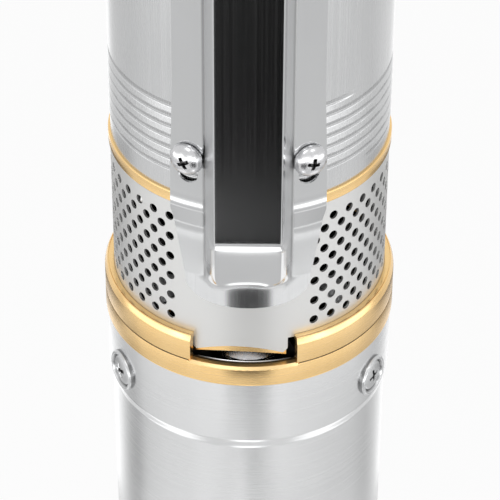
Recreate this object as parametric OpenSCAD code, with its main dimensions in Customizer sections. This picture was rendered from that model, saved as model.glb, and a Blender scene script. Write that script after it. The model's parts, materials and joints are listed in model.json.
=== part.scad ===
// Borehole submersible pump: an oil-filled motor below, an intake bracket with a strainer,
// and a staged pump above.
// The axis is Z and the base rests on Z = 0. The cable guard faces -Y.
// Angles are counted from -Y towards +X.

/* [Motor] */
// Height of the mounting face above the base
motor_h = 350; // [330:1:480]
// Outside diameter of the motor casing
motor_od = 96; // [93:0.5:97]
// Wall of the motor casing
motor_wall = 1.5; // [1:0.1:2]
// Widening of the belled top of the motor casing, on its radius
bell_step = 1.15; // [0.75:0.05:1.5]
// Height of the belled top
bell_h = 26.9; // [24:0.1:32]
// Height over which the casing widens into the bell
bell_blend = 4; // [2:0.5:6]
// Turn of the motor about the axis, in degrees
motor_turn = -1.35; // [-5:0.05:5]
// Height of the end cap
cap_h = 13; // [11:0.5:18]
// Thickness of the pressure diaphragm
diaphragm_t = 2; // [1:0.25:3]
// Height of the visible rim of the lower cover
cover_rim_h = 7; // [5:0.5:12]
// Length of the lower cover's spigot inside the casing
cover_spigot_h = 34; // [32:1:50]
// Bore of the stator stack
stator_bore = 54; // [50:0.5:58]
// Air gap between rotor and stator
air_gap = 0.4; // [0.3:0.05:0.8]
// Number of stator slots
slot_count = 24; // [12:6:36]
// Length of each winding end turn
end_turn_h = 26; // [18:1:32]

/* [Motor bearings and shaft] */
// Bore of the lower bearing
low_bearing_bore = 20; // [17:0.5:22]
// Outside diameter of the lower bearing
low_bearing_od = 47; // [44:0.5:50]
// Width of the lower bearing
low_bearing_w = 14; // [12:0.5:16]
// Bore of the upper bearing
up_bearing_bore = 17; // [16.5:0.25:18]
// Outside diameter of the upper bearing
up_bearing_od = 40; // [37:0.5:42]
// Width of the upper bearing
up_bearing_w = 12; // [10:0.5:14]
// Balls in each bearing
ball_count = 8; // [6:1:8]
// Diameter of the shaft under the rotor core
core_shaft_d = 28; // [26:0.5:32]
// Diameter of the splined shaft end
spline_d = 15.9; // [14:0.1:16.2]
// Height of the shaft end above the mounting face
shaft_end_h = 38.1; // [34:0.1:40]

/* [Motor top flange] */
// Overhang of both brass flanges beyond the bell
flange_lip = 0.6; // [0.4:0.05:1.6]
// Height of the visible rim of the motor top flange
flange_rim_h = 6.8; // [5:0.1:9]
// Chamfer on the top edge of the motor top flange
flange_chamfer = 0.8; // [0.3:0.1:1.2]
// Rise of the flange's edge above the mounting face
flange_edge_h = 0.8; // [0.4:0.1:1.2]
// Length of the flange's spigot inside the bell
flange_spigot_h = 25; // [23:0.5:26]
// Depth of the recess in the mounting face
recess_depth = 7; // [6:0.5:9]
// Thickness of the flange floor
floor_t = 12; // [10:0.5:14]
// Width of the brass rim around the steel seal cover
dish_rim = 3.85; // [3.2:0.05:5.5]
// Wall of the steel seal cover at its rim
dish_wall = 1.5; // [0.8:0.1:2]
// Floor of the steel seal cover
dish_floor_t = 1.2; // [0.8:0.1:2]
// Diameter of the raised boss around the shaft
boss_d = 25.2; // [23:0.2:28]
// Gap between the cable gland's head and the rim of the seal cover
gland_gap = 3.7; // [2:0.1:5]
// Distance of the studs from the edge of the seal cover
stud_inset = 7.8; // [7:0.1:9.5]
// Diameter of the studs
stud_d = 8; // [6:0.5:8.5]
// Diameter of a cup washer on the motor casing
washer_d = 15.3; // [13:0.1:17]
// Depth of the motor screws below the top of the bell
motor_screw_drop = 15.4; // [13:0.1:16]
// Angle of the front motor screws either side of the front, in degrees
motor_screw_angle = 60.5; // [50:0.5:70]

/* [Intake] */
// Height of the intake, from the mounting face to the pump casing
intake_h = 66.2; // [62:0.1:90]
// Height of the bracket's lower flange
bracket_flange_h = 11; // [9.5:0.1:14]
// Depth of the seat behind the flange's rim that takes the strainer
seat_depth = 1; // [0.3:0.1:1.5]
// Width of the chamfer on the flange's rim
rim_chamfer = 0.85; // [0.4:0.05:1.2]
// Height of the chamfer on the flange's rim
rim_chamfer_h = 2.3; // [1:0.1:3]
// Angle of the notch in the flange's rim, in degrees
notch_angle = 42; // [36:0.2:46]
// Turn of the notch about the axis, in degrees
notch_turn = -2.1; // [-4:0.1:4]
// Height of the cable way behind the notch
cable_way_h = 5.5; // [5.4:0.1:6]
// Step of the band between strainer and casing out of the strainer
band_step = 0.6; // [0.4:0.05:1.5]
// Height of the band
band_h = 4.2; // [4:0.1:8]
// Width of the bracket flange outside the strainer
rim_w = 3.25; // [2.6:0.05:4]
// Sheet thickness of the strainer
strainer_wall = 0.8; // [0.6:0.1:1.2]
// Turn of the strainer about the axis, in degrees
strainer_turn = -3.1; // [-4:0.1:2]
// Diameter of the strainer's holes
hole_d = 3.2; // [2:0.1:3.6]
// Pitch of the holes in one column
hole_pitch = 8.1; // [7.6:0.1:9]
// Drop of the holes below the middle of the strainer
hole_drop = 0.6; // [0:0.1:1.5]
// Angle between neighbouring columns, in degrees
column_angle = 4.15; // [4:0.01:6]
// Half of the angle left without holes behind the guard, in degrees
blank_half_angle = 30.5; // [28:0.5:40]
// Angle of the tab that hangs in the notch, in degrees
tab_angle = 40; // [30:0.2:42]
// Turn of the tab on the strainer, in degrees
tab_turn = -0.8; // [-1.5:0.1:1.5]
// Drop of the tab's corners below the strainer
tab_drop = 6; // [4:0.1:7]
// Rise of the arch in the tab's lower edge
tab_arch = 3.6; // [1:0.1:4]

/* [Pump] */
// Step of the pump casing in from the band
casing_step = 0.8; // [0.4:0.05:1.3]
// Wall of the pump casing
casing_wall = 1.5; // [1.2:0.1:2]
// Depth of the rolled thread
thread_depth = 0.6; // [0.3:0.05:0.8]
// Pitch of the rolled thread
thread_pitch = 4.07; // [3.6:0.01:5]
// Grooves of the rolled thread at each end
thread_turns = 7; // [4:1:7]
// Plain length of the casing before the thread
thread_lead_in = 8.9; // [4:0.1:10]
// Length of the bracket's spigot inside the casing
spigot_h = 32; // [32:0.5:44]
// Number of stages
stage_count = 6; // [2:1:6]
// Height of one stage
stage_pitch = 30; // [28:0.5:40]
// Room between the impellers and the wall of their stage
impeller_room = 7.4; // [4.4:0.1:11]
// Width of the impeller passage
passage_h = 6.4; // [4:0.1:7]
// Diameter of the eye of each stage
eye_d = 31.6; // [29:0.2:34]
// Diameter of the impeller hubs
hub_d = 18; // [17:0.2:19]
// Blades of each impeller
blade_count = 6; // [4:1:8]
// Guide vanes of each diffuser
vane_count = 7; // [5:1:9]
// Width across the flats of the pump shaft
hex_af = 11; // [9:0.5:12]
// Outside diameter of the shaft coupling
coupling_d = 26; // [24:0.5:30]

/* [Discharge head] */
// Length of the head's spigot inside the casing
head_spigot_h = 40; // [40:0.5:50]
// Overhang of the head's rim beyond the casing
head_lip = 0.7; // [0.5:0.05:2.2]
// Height of the head above the casing
head_h = 50; // [47:0.5:60]
// Width across the flats of the head's hexagon
head_af = 54; // [50:0.5:58]
// Core diameter of the outlet thread
outlet_d = 39; // [34:0.5:42]
// Length of the outlet thread
outlet_h = 25; // [20:0.5:25]
// Diameter of the rope eyes
eye_hole_d = 10; // [8:0.5:11]
// Thickness of the rope lugs
lug_t = 9; // [6:0.5:12]
// Lift of the check valve
valve_lift = 8; // [4:0.5:9]
// Diameter of the valve poppet
poppet_d = 44; // [40:0.5:52]

/* [Cable guard] */
// Sheet thickness of the cable guard
guard_t = 0.8; // [0.6:0.1:1.2]
// Height of the guard's flat crown above the casing
guard_depth = 8.2; // [7.2:0.1:11]
// Width of the guard's flat crown
crown_w = 20.8; // [18:0.2:24]
// Sideways spread of each guard wall for each millimetre of depth
wall_draft = 0.42; // [0.2:0.02:0.6]
// Half angle of the guard's side flanges, in degrees
guard_half_angle = 31.4; // [29:0.2:34]
// Height of the foot of the guard above the mounting face
guard_foot_h = 24.5; // [20:0.5:30]
// Height of the foot of the flat crown above the mounting face
crown_foot_h = 54; // [52:0.2:60]
// Height of the foot of the ramp above the mounting face
ramp_foot_h = 33.5; // [31:0.5:38]
// Angle of the guard screws either side of the front, in degrees
guard_screw_angle = 22.9; // [22:0.1:25]
// Distance of the guard screws from the ends of the casing
guard_screw_inset = 16; // [13:0.1:18]
// Head diameter of the guard screws
guard_screw_head_d = 10; // [8.5:0.1:10.4]

/* [Hidden] */
$fn = 64;
fit = 0.05;
run = 0.1;
clear = 0.3;
over = 1;
far = 200;
steel = [0.78, 0.79, 0.8];
dark_steel = [0.42, 0.43, 0.45];
brass = [0.9, 0.74, 0.45];
copper = [0.72, 0.42, 0.24];
rubber = [0.09, 0.09, 0.1];
plastic = [0.16, 0.17, 0.19];
ivory = [0.88, 0.86, 0.8];

motor_r = motor_od / 2;
motor_bore_r = motor_r - motor_wall;
bell_r = motor_r + bell_step;
bell_bore_r = bell_r - motor_wall;
flange_r = bell_r + flange_lip;
dish_r = flange_r - dish_rim;
edge_r = dish_r + 0.6;
boss_r = boss_d / 2;
gland_clear = 0.7;
gland_r = (dish_r - dish_wall - gland_gap - boss_r - gland_clear) / 2;
gland_offset = boss_r + gland_clear + gland_r;
stud_r = dish_r - stud_inset;
strainer_r = flange_r - rim_w;
strainer_bore_r = strainer_r - strainer_wall;
band_r = strainer_r + band_step;
casing_r = band_r - casing_step;
crown_y = casing_r + guard_depth;
casing_bore_r = casing_r - casing_wall;
stator_bore_r = stator_bore / 2;
rotor_r = stator_bore_r - air_gap;

// Levels of the lower end of the motor
cover_z0 = cap_h + diaphragm_t;
tube_z0 = cover_z0 + cover_rim_h;
cover_z1 = tube_z0 + cover_spigot_h;
cover_web_z0 = cover_z0 + 9;
low_bearing_z0 = cover_z1 - low_bearing_w - 4;
low_bearing_z1 = low_bearing_z0 + low_bearing_w;

// Levels of the upper end of the motor
rim_z0 = motor_h - flange_rim_h;
bell_z0 = rim_z0 - bell_h;
edge_z = motor_h + flange_edge_h;
recess_z = motor_h - recess_depth;
floor_z0 = recess_z - floor_t;
seal_roof_z = recess_z - 5;
seal_h = 22;
up_bearing_z1 = seal_roof_z - seal_h;
up_bearing_z0 = up_bearing_z1 - up_bearing_w;
boss_z = motor_h - 2;
seal_bore_r = 15;
shaft_hole_r = spline_d / 2 + 1.3;

// Levels of the stator
winding_room = 8;
core_z0 = cover_z1 + end_turn_h + winding_room;
core_z1 = up_bearing_z0 - end_turn_h - winding_room;
end_ring_h = 7;

// Cap, diaphragm and lower cover
cap_r = motor_r - 0.5;
cap_ring_w = 11;
cap_floor_t = 3;
cap_screw_d = 5;
cap_screw_r = cap_r - 5.2;
cap_screw_count = 4;
cap_screw_head_h = 5;
cap_screw_z1 = cover_z0 + 12;
vent_r = 2;
vent_circle_r = 22;
roll_r = cap_r - cap_ring_w - 5;
cover_bore_r = motor_bore_r - 6;
cover_hub_r = low_bearing_od / 2 + 5;
oil_hole_r = 13;
ring_section = 2;

// Cable gland
gland_stem_r = 10;
gland_bore_r = 8.2;
gland_head_h = 2.1;
gland_z0 = floor_z0 - 2;
gland_z1 = recess_z + dish_floor_t + gland_head_h;
cable_w = 13;
cable_t = 4.6;

// Studs, nuts and screws
stud_z0 = recess_z - floor_t + 2;
nut_af = stud_d * 1.625;
nut_h = stud_d * 0.8;
bracket_plate_z = motor_h + bracket_flange_h - seat_depth;
stud_z1 = bracket_plate_z + nut_h + 3;
motor_screw_z = rim_z0 - motor_screw_drop;
motor_screw_angles = [-motor_screw_angle, motor_screw_angle, 180];
motor_screw_d = 6;
motor_screw_head_r = 5.5;
washer_h = 2.2;
washer_flat_r = 6.2;
screw_d = 4;

// Levels of the intake
casing_z0 = motor_h + intake_h;
band_z0 = casing_z0 - band_h;
strainer_z0 = bracket_plate_z;
strainer_z1 = band_z0;
strainer_mid_z = (strainer_z0 + strainer_z1) / 2;
rim_bore_r = strainer_r + 0.2;
bracket_bore_r = stud_r - 9;
barrel_r = strainer_bore_r - run;
barrel_h = 3.5;
ring_t = 9;
leg_t = 7;
leg_half_angle = 6.5;
leg_angles = [24, 90, 156, 204, 270, 336];
spigot_r = casing_bore_r - thread_depth - 0.2;
spigot_bore_r = spigot_r - 6;
spigot_z1 = casing_z0 + spigot_h;
window_w = 18;
window_z0 = motor_h + ramp_foot_h + 8;
window_z1 = motor_h + crown_foot_h;
hole_rows = floor((strainer_z1 - strainer_z0 - hole_d - 4) / hole_pitch);
columns = 2 * floor((360 - 2 * blank_half_angle) / column_angle / 2) + 1;
first_column = 180 - (columns - 1) / 2 * column_angle;
tab_corner = 1.5;
tab_half_w = strainer_r * sin(tab_angle / 2);

// Levels of the pump
inlet_h = 6;
stage_z0 = spigot_z1 + inlet_h;
stage_r = casing_bore_r - thread_depth - clear;
stage_wall = 2.5;
plate_t = 2;
stage_top_z = stage_z0 + stage_count * stage_pitch;
impeller_r = stage_r - stage_wall - impeller_room;
shroud_t = 1.6;
impeller_lift = 3;
eye_r = eye_d / 2;
hub_r = hub_d / 2;
skirt_dip = 1.5;
skirt_t = 2.2;
blade_t = 1.6;
plate_z = impeller_lift + 2 * shroud_t + passage_h + 2.4;
hex_r = hex_af / 2 / cos(30);
coupling_r = coupling_d / 2;
coupling_z0 = motor_h + 11;
coupling_web = 3;
coupling_h = 63;
coupling_z1 = coupling_z0 + coupling_h;
spline_z1 = motor_h + shaft_end_h;
pump_shaft_z0 = spline_z1 + coupling_web;
collar_z0 = stage_z0 - 8;
spider_h = 20;
spider_z1 = stage_top_z + spider_h;
spider_hub_r = 15;
bush_r = 12;
sleeve_z1 = spider_z1 + 2;
shaft_nut_h = 6;
shaft_top_z = sleeve_z1 + shaft_nut_h + 2;

// Levels of the casing and the discharge head
casing_z1 = spider_z1 + head_spigot_h;
thread_low_z = casing_z0 + thread_lead_in;
thread_high_z = casing_z1 - thread_lead_in - (thread_turns - 1) * thread_pitch;
thread_valley = 0.5;
thread_slope = 0.55;
head_z1 = casing_z1 + head_h;
head_rim_r = casing_r + head_lip;
head_rim_h = 6;
outlet_r = outlet_d / 2;
outlet_z0 = head_z1 - outlet_h;
neck_z0 = outlet_z0 - 2;
seat_r = spigot_r - 6;
seat_z1 = casing_z1 - head_spigot_h / 2;
seat_h = 10;
chamber_r = seat_r - 5;
throat_r = chamber_r - 5;
seat_bore_r = poppet_d / 2 - 4;
poppet_t = 5;
stem_r = 4;
poppet_z1 = seat_z1 + poppet_t;
spring_solid_h = 9;
guide_h = 6;
guide_z0 = poppet_z1 + valve_lift + spring_solid_h;
chamber_z1 = guide_z0 + guide_h;
throat_z1 = chamber_z1 + 4;
guide_ring_t = 3;
guide_hub_r = 7;
stem_z1 = chamber_z1 + 6;
spring_r = 9;
spring_wire_r = 0.8;
spring_turns = 5;
spring_steps = 14;
spring_sides = 8;
lug_r = eye_hole_d / 2 + 4;
lug_x = head_rim_r - lug_r;
lug_z = neck_z0 + 4;

// Cable guard
guard_z0 = motor_h + guard_foot_h;
guard_z1 = casing_z1 - 6;
crown_z0 = motor_h + crown_foot_h;
ramp_z0 = motor_h + ramp_foot_h;
joggle_z0 = band_z0 - 7.5;
joggle_z1 = band_z0 - 1;
guard_low_r = strainer_r + run;
guard_high_r = band_r + run;
ramp_slope = (crown_y - guard_low_r) / (crown_z0 - ramp_z0);
tongue_z = motor_h + ramp_foot_h + 2;
tongue_power = 2.6;
guard_half_w = (guard_low_r + guard_t) * sin(guard_half_angle);
tongue_half_w = guard_half_w * 0.83;
guard_slot_r = 3.6;
guard_slot_drop = 6;
guard_screw_head_h = 3.4;
guard_screw_low_z = casing_z0 + guard_screw_inset;
guard_screw_high_z = casing_z1 - guard_screw_inset;

// A solid of revolution from a profile of [radius, height] points
module turned(profile) {
    rotate_extrude() polygon(profile);
}

// A plain round tube between two levels
module tube(outer_r, bore_r, z0, z1) {
    turned([[bore_r, z0], [outer_r, z0], [outer_r, z1], [bore_r, z1]]);
}

// A solid of revolution that follows one list of points out and another back
module shell(outer, inner) {
    turned(concat(outer, [for (k = [len(inner) - 1:-1:0]) inner[k]]));
}

// A round rod or hole along Z at a point of the plan
module rod(r, z0, z1) {
    translate([0, 0, z0]) cylinder(r = r, h = z1 - z0);
}

// Copies at equal angles on a circle, the first at a given angle from the front
module on_circle(count, r, first = 0) {
    for (k = [0:count - 1])
        rotate([0, 0, first + k * 360 / count]) translate([0, -r, 0]) children();
}

// Stands children on the outside of the pump, with their +Z outwards
module facing(angle, z) {
    rotate([0, 0, angle]) translate([0, 0, z]) rotate([90, 0, 0]) children();
}

// A part of a ring between two angles
module sector(r0, r1, z0, z1, from, to) {
    rotate([0, 0, from - 90])
        rotate_extrude(angle = to - from) translate([r0, z0]) square([r1 - r0, z1 - z0]);
}

// A flat ring in plan
module ring_plan(r0, r1) {
    difference() {
        circle(r = r1);
        circle(r = r0);
    }
}

// A plan outline raised between two levels
module raised(z0, z1) {
    translate([0, 0, z0]) linear_extrude(height = z1 - z0) children();
}

// A front view outline, drawn in X and Z, pushed through the front half of the pump
module through_front() {
    rotate([90, 0, 0]) linear_extrude(height = far) children();
}

// A rubber ring of round section
module o_ring(mean_r, section_r, z) {
    rotate_extrude() translate([mean_r, z]) circle(r = section_r, $fn = 32);
}

// Ball bearings: a race has the groove of the balls turned into it
function pitch_r(od, bore) = (od + bore) / 4;
function ball_r(od, bore) = (od - bore) * 0.145;

module bearing_outer(od, bore, z0, z1) {
    rotate_extrude() difference() {
        translate([pitch_r(od, bore) + ball_r(od, bore) / 2, z0])
            square([od / 2 - fit - pitch_r(od, bore) - ball_r(od, bore) / 2, z1 - z0]);
        translate([pitch_r(od, bore), (z0 + z1) / 2]) circle(r = ball_r(od, bore) + run);
    }
}

module bearing_inner(od, bore, z0, z1) {
    rotate_extrude() difference() {
        translate([bore / 2 + fit, z0])
            square([pitch_r(od, bore) - ball_r(od, bore) / 2 - bore / 2 - fit, z1 - z0]);
        translate([pitch_r(od, bore), (z0 + z1) / 2]) circle(r = ball_r(od, bore) + run);
    }
}

module bearing_balls(od, bore, z0, z1) {
    on_circle(ball_count, pitch_r(od, bore))
        translate([0, 0, (z0 + z1) / 2]) sphere(r = ball_r(od, bore));
}

// Motor, lower end

module end_cap() {
    chamfer = 2;
    color(steel) difference() {
        turned([
            [0, 0], [cap_r - chamfer, 0], [cap_r, chamfer], [cap_r, cap_h],
            [cap_r - cap_ring_w, cap_h], [cap_r - cap_ring_w, cap_floor_t], [0, cap_floor_t]
        ]);
        on_circle(cap_screw_count, cap_screw_r, 45) {
            rod(cap_screw_d / 2 + run, -over, cap_h + over);
            rod(cap_screw_d, -over, cap_screw_head_h);
        }
        on_circle(cap_screw_count, vent_circle_r) rod(vent_r, -over, cap_floor_t + over);
    }
}

module end_screws() {
    head_drop = 0.5;
    color(dark_steel) on_circle(cap_screw_count, cap_screw_r, 45) difference() {
        union() {
            rod(cap_screw_d * 0.85, head_drop, cap_screw_head_h);
            rod(cap_screw_d / 2, cap_screw_head_h - over, cap_screw_z1);
        }
        translate([0, 0, head_drop - over]) cylinder(d = cap_screw_d * 0.9, h = over + 2.5, $fn = 6);
    }
}

module diaphragm() {
    drop = (cap_h - cap_floor_t) * 0.7;
    roll_w = 10;
    color(rubber) difference() {
        shell(
            [[0, cap_h - drop], [roll_r - roll_w, cap_h - drop], [roll_r, cap_h], [cap_r - 0.5, cap_h]],
            [[0, cover_z0 - drop], [roll_r - roll_w - 0.8, cover_z0 - drop], [roll_r - 0.8, cover_z0],
             [cap_r - 0.5, cover_z0]]
        );
        on_circle(cap_screw_count, cap_screw_r, 45)
            rod(cap_screw_d / 2 + run, cap_h - drop - over, cover_z0 + over);
    }
}

module lower_cover() {
    spigot_r = motor_bore_r - fit;
    web_z1 = low_bearing_z0;
    groove_z = tube_z0 + 8;
    port_r = 2.5;
    color(brass) difference() {
        turned([
            [oil_hole_r, cover_web_z0], [cap_r - cap_ring_w, cover_web_z0], [cap_r - cap_ring_w, cover_z0],
            [motor_r, cover_z0], [motor_r, tube_z0], [spigot_r, tube_z0], [spigot_r, cover_z1],
            [cover_bore_r, cover_z1], [cover_bore_r, web_z1], [cover_hub_r, web_z1], [cover_hub_r, cover_z1],
            [low_bearing_od / 2, cover_z1], [low_bearing_od / 2, low_bearing_z0], [oil_hole_r, low_bearing_z0]
        ]);
        tube(
            spigot_r + over, spigot_r - ring_section,
            groove_z - ring_section * 0.7, groove_z + ring_section * 0.7
        );
        on_circle(cap_screw_count, cap_screw_r, 45)
            rod(cap_screw_d / 2 + fit, cover_z0 - over, cap_screw_z1 + over);
        on_circle(6, (cover_hub_r + cap_r - cap_ring_w) / 2) rod(port_r, cover_web_z0 - over, web_z1 + over);
    }
}

module cover_o_ring() {
    color(rubber) o_ring(motor_bore_r - fit - ring_section / 2, ring_section / 2 - fit / 2, tube_z0 + 8);
}

module lower_bearing_outer() {
    color(dark_steel) bearing_outer(low_bearing_od, low_bearing_bore, low_bearing_z0, low_bearing_z1);
}

module lower_bearing_inner() {
    color(dark_steel) bearing_inner(low_bearing_od, low_bearing_bore, low_bearing_z0, low_bearing_z1);
}

module lower_bearing_balls() {
    color(steel) bearing_balls(low_bearing_od, low_bearing_bore, low_bearing_z0, low_bearing_z1);
}

// Motor, middle

module motor_casing() {
    color(steel) rotate([0, 0, motor_turn]) difference() {
        shell(
            [[motor_r, tube_z0], [motor_r, bell_z0 - bell_blend / 2], [bell_r, bell_z0 + bell_blend / 2],
             [bell_r, rim_z0]],
            [[motor_bore_r, tube_z0], [motor_bore_r, bell_z0 - bell_blend / 2],
             [bell_bore_r, bell_z0 + bell_blend / 2], [bell_bore_r, rim_z0]]
        );
        for (angle = motor_screw_angles)
            facing(angle, motor_screw_z) rod(motor_screw_d / 2 + clear, bell_bore_r - 3, bell_r + over);
    }
}

slot_w = 3.8;
slot_mouth_w = 1.8;
slot_r0 = stator_bore_r + 1.5;
slot_r1 = motor_bore_r - 6.5;

module stator_core() {
    color(dark_steel) raised(core_z0, core_z1) difference() {
        ring_plan(stator_bore_r, motor_bore_r - fit);
        for (k = [0:slot_count - 1]) rotate(k * 360 / slot_count) {
            translate([slot_r0, -slot_w / 2]) square([slot_r1 - slot_r0, slot_w]);
            translate([stator_bore_r - over, -slot_mouth_w / 2])
                square([slot_r0 - stator_bore_r + 2 * over, slot_mouth_w]);
        }
    }
}

module end_turn(z0, z1) {
    tube(slot_r1 - run, slot_r0 + run, z0, z1);
}

module stator_winding() {
    bar_gap = 0.2;
    color(copper) union() {
        end_turn(core_z0 - end_turn_h, core_z0);
        end_turn(core_z1, core_z1 + end_turn_h);
        raised(core_z0 - end_turn_h / 2, core_z1 + end_turn_h / 2)
            for (k = [0:slot_count - 1]) rotate(k * 360 / slot_count)
                translate([slot_r0 + bar_gap, bar_gap - slot_w / 2])
                    square([slot_r1 - slot_r0 - 2 * bar_gap, slot_w - 2 * bar_gap]);
    }
}

module rotor_core() {
    ring_r = rotor_r - 3;
    bore_r = core_shaft_d / 2 + fit;
    color(dark_steel) turned([
        [bore_r, core_z0 - end_ring_h], [ring_r, core_z0 - end_ring_h], [ring_r, core_z0], [rotor_r, core_z0],
        [rotor_r, core_z1], [ring_r, core_z1], [ring_r, core_z1 + end_ring_h], [bore_r, core_z1 + end_ring_h]
    ]);
}

module motor_shaft() {
    low_r = low_bearing_bore / 2;
    core_r = core_shaft_d / 2;
    up_r = up_bearing_bore / 2;
    shoulder = 2;
    tip = 1;
    color(steel) turned([
        [0, low_bearing_z0 - 2], [low_r - tip, low_bearing_z0 - 2], [low_r, low_bearing_z0 - 2 + tip],
        [low_r, low_bearing_z1], [core_r + shoulder, low_bearing_z1],
        [core_r + shoulder, core_z0 - end_ring_h], [core_r, core_z0 - end_ring_h],
        [core_r, core_z1 + end_ring_h], [up_r + shoulder, core_z1 + end_ring_h + 6],
        [up_r + shoulder, up_bearing_z0], [up_r, up_bearing_z0], [up_r, seal_roof_z],
        [spline_d / 2, seal_roof_z], [spline_d / 2, spline_z1 - tip],
        [spline_d / 2 - tip, spline_z1], [0, spline_z1]
    ]);
}

// Motor, upper end

module upper_bearing_outer() {
    color(dark_steel) bearing_outer(up_bearing_od, up_bearing_bore, up_bearing_z0, up_bearing_z1);
}

module upper_bearing_inner() {
    color(dark_steel) bearing_inner(up_bearing_od, up_bearing_bore, up_bearing_z0, up_bearing_z1);
}

module upper_bearing_balls() {
    color(steel) bearing_balls(up_bearing_od, up_bearing_bore, up_bearing_z0, up_bearing_z1);
}

seal_split_z = seal_roof_z - 7;

module seal_seat() {
    color(ivory) tube(seal_bore_r - fit, shaft_hole_r + 0.2, seal_split_z, seal_roof_z);
}

module seal_ring() {
    bellows_r = seal_bore_r - 3;
    up_r = up_bearing_bore / 2 + fit;
    color(dark_steel) turned([
        [up_r, up_bearing_z1], [up_r + 2.5, up_bearing_z1], [bellows_r, up_bearing_z1 + 4],
        [bellows_r, seal_split_z - 4], [bellows_r - 1.5, seal_split_z - run], [up_r, seal_split_z - run]
    ]);
}

module sand_slinger() {
    bore_r = spline_d / 2 + fit;
    z0 = boss_z + 1.5;
    color(rubber) turned([
        [bore_r, z0], [bore_r + 2.5, z0], [bore_r + 5, z0 - 0.8], [bore_r + 6, z0 - 0.8],
        [bore_r + 4, z0 + 5], [bore_r + 2.5, coupling_z0], [bore_r, coupling_z0]
    ]);
}

module motor_top_flange() {
    spigot_r = bell_bore_r - fit;
    spigot_z0 = rim_z0 - flange_spigot_h;
    hub_r = up_bearing_od / 2 + 5;
    skirt_r = spigot_r - 7;
    groove_z = spigot_z0 + 2.6;
    color(brass) rotate([0, 0, motor_turn]) difference() {
        turned([
            [shaft_hole_r, seal_roof_z], [seal_bore_r, seal_roof_z], [seal_bore_r, up_bearing_z1],
            [up_bearing_od / 2, up_bearing_z1], [up_bearing_od / 2, up_bearing_z0], [hub_r, up_bearing_z0],
            [hub_r, floor_z0], [skirt_r, floor_z0], [skirt_r, spigot_z0],
            [spigot_r, spigot_z0], [spigot_r, rim_z0],
            [flange_r, rim_z0], [flange_r, edge_z - flange_chamfer], [flange_r - flange_chamfer, edge_z],
            [edge_r, edge_z], [edge_r, motor_h], [dish_r + fit, motor_h], [dish_r + fit, recess_z], [boss_r, recess_z], [boss_r, boss_z],
            [shaft_hole_r, boss_z]
        ]);
        tube(spigot_r + over, spigot_r - ring_section, groove_z - 1.4, groove_z + 1.4);
        rotate([0, 0, -motor_turn]) {
            translate([0, -gland_offset, 0]) rod(gland_stem_r + run, gland_z0 - over, recess_z + over);
            on_circle(4, stud_r, 45) rod(stud_d / 2 + fit, stud_z0, recess_z + over);
        }
        for (angle = motor_screw_angles)
            facing(angle, motor_screw_z) rod(motor_screw_d / 2 + fit, skirt_r - over, spigot_r + over);
    }
}

module flange_o_ring() {
    mean_r = bell_bore_r - fit - ring_section / 2;
    color(rubber) o_ring(mean_r, ring_section / 2 - fit / 2, rim_z0 - flange_spigot_h + 2.6);
}

module seal_cover() {
    floor_z1 = recess_z + dish_floor_t;
    lip = 0.5;
    color(steel) difference() {
        turned([
            [boss_r + run, recess_z], [dish_r, recess_z], [dish_r, motor_h - lip], [dish_r - lip, motor_h],
            [dish_r - dish_wall, motor_h], [dish_r - dish_wall, floor_z1], [boss_r + run, floor_z1]
        ]);
        translate([0, -gland_offset, 0]) rod(gland_stem_r + run, recess_z - over, floor_z1 + over);
        on_circle(4, stud_r, 45) rod(stud_d / 2 + clear, recess_z - over, floor_z1 + over);
    }
}

module cable_gland() {
    head_z0 = recess_z + dish_floor_t;
    edge = 0.8;
    color(steel) translate([0, -gland_offset, 0]) turned([
        [gland_bore_r, gland_z0], [gland_stem_r, gland_z0], [gland_stem_r, head_z0], [gland_r, head_z0],
        [gland_r, gland_z1 - edge], [gland_r - edge, gland_z1], [gland_bore_r, gland_z1]
    ]);
}

module gland_grommet() {
    proud = 0.8;
    color(rubber) translate([0, -gland_offset, 0]) raised(gland_z0, gland_z1 + proud) difference() {
        circle(r = gland_bore_r - fit);
        square([cable_w - cable_t, cable_t], center = true);
        for (side = [-1, 1]) translate([side * (cable_w - cable_t) / 2, 0]) circle(d = cable_t);
    }
}

module motor_screws() {
    shank_end_r = bell_bore_r - 6.5;
    head_z = bell_r + washer_h;
    color(steel) rotate([0, 0, motor_turn])
        for (angle = motor_screw_angles) facing(angle, motor_screw_z) turned([
        [0, shank_end_r], [motor_screw_d / 2, shank_end_r], [motor_screw_d / 2, head_z - 1.8],
        [motor_screw_head_r, head_z - 0.4], [motor_screw_head_r - 0.6, head_z + 0.3], [0, head_z + 0.7]
    ]);
}

module cup_washers() {
    bore_r = motor_screw_d / 2 + run;
    seat_r = motor_screw_head_r + 0.15;
    head_z = bell_r + washer_h;
    color(steel) rotate([0, 0, motor_turn]) for (angle = motor_screw_angles) facing(angle, motor_screw_z)
        difference() {
            turned([
                [bore_r, bell_r - 2], [washer_d / 2, bell_r - 2], [washer_d / 2, bell_r + 0.4],
                [washer_flat_r, head_z - 0.3], [seat_r, head_z - 0.3], [bore_r, head_z - 1.9]
            ]);
            rotate([90, 0, 0]) translate([0, 0, -washer_d])
                cylinder(r = bell_r + fit, h = 2 * washer_d, $fn = 128);
        }
}

// Intake

module flange_studs() {
    color(dark_steel) on_circle(4, stud_r, 45) rod(stud_d / 2, stud_z0, stud_z1);
}

module flange_nuts() {
    color(steel) on_circle(4, stud_r, 45) difference() {
        translate([0, 0, bracket_plate_z]) cylinder(r = nut_af / 2 / cos(30), h = nut_h, $fn = 6);
        rod(stud_d / 2 + fit, bracket_plate_z - over, bracket_plate_z + nut_h + over);
    }
}

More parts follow.
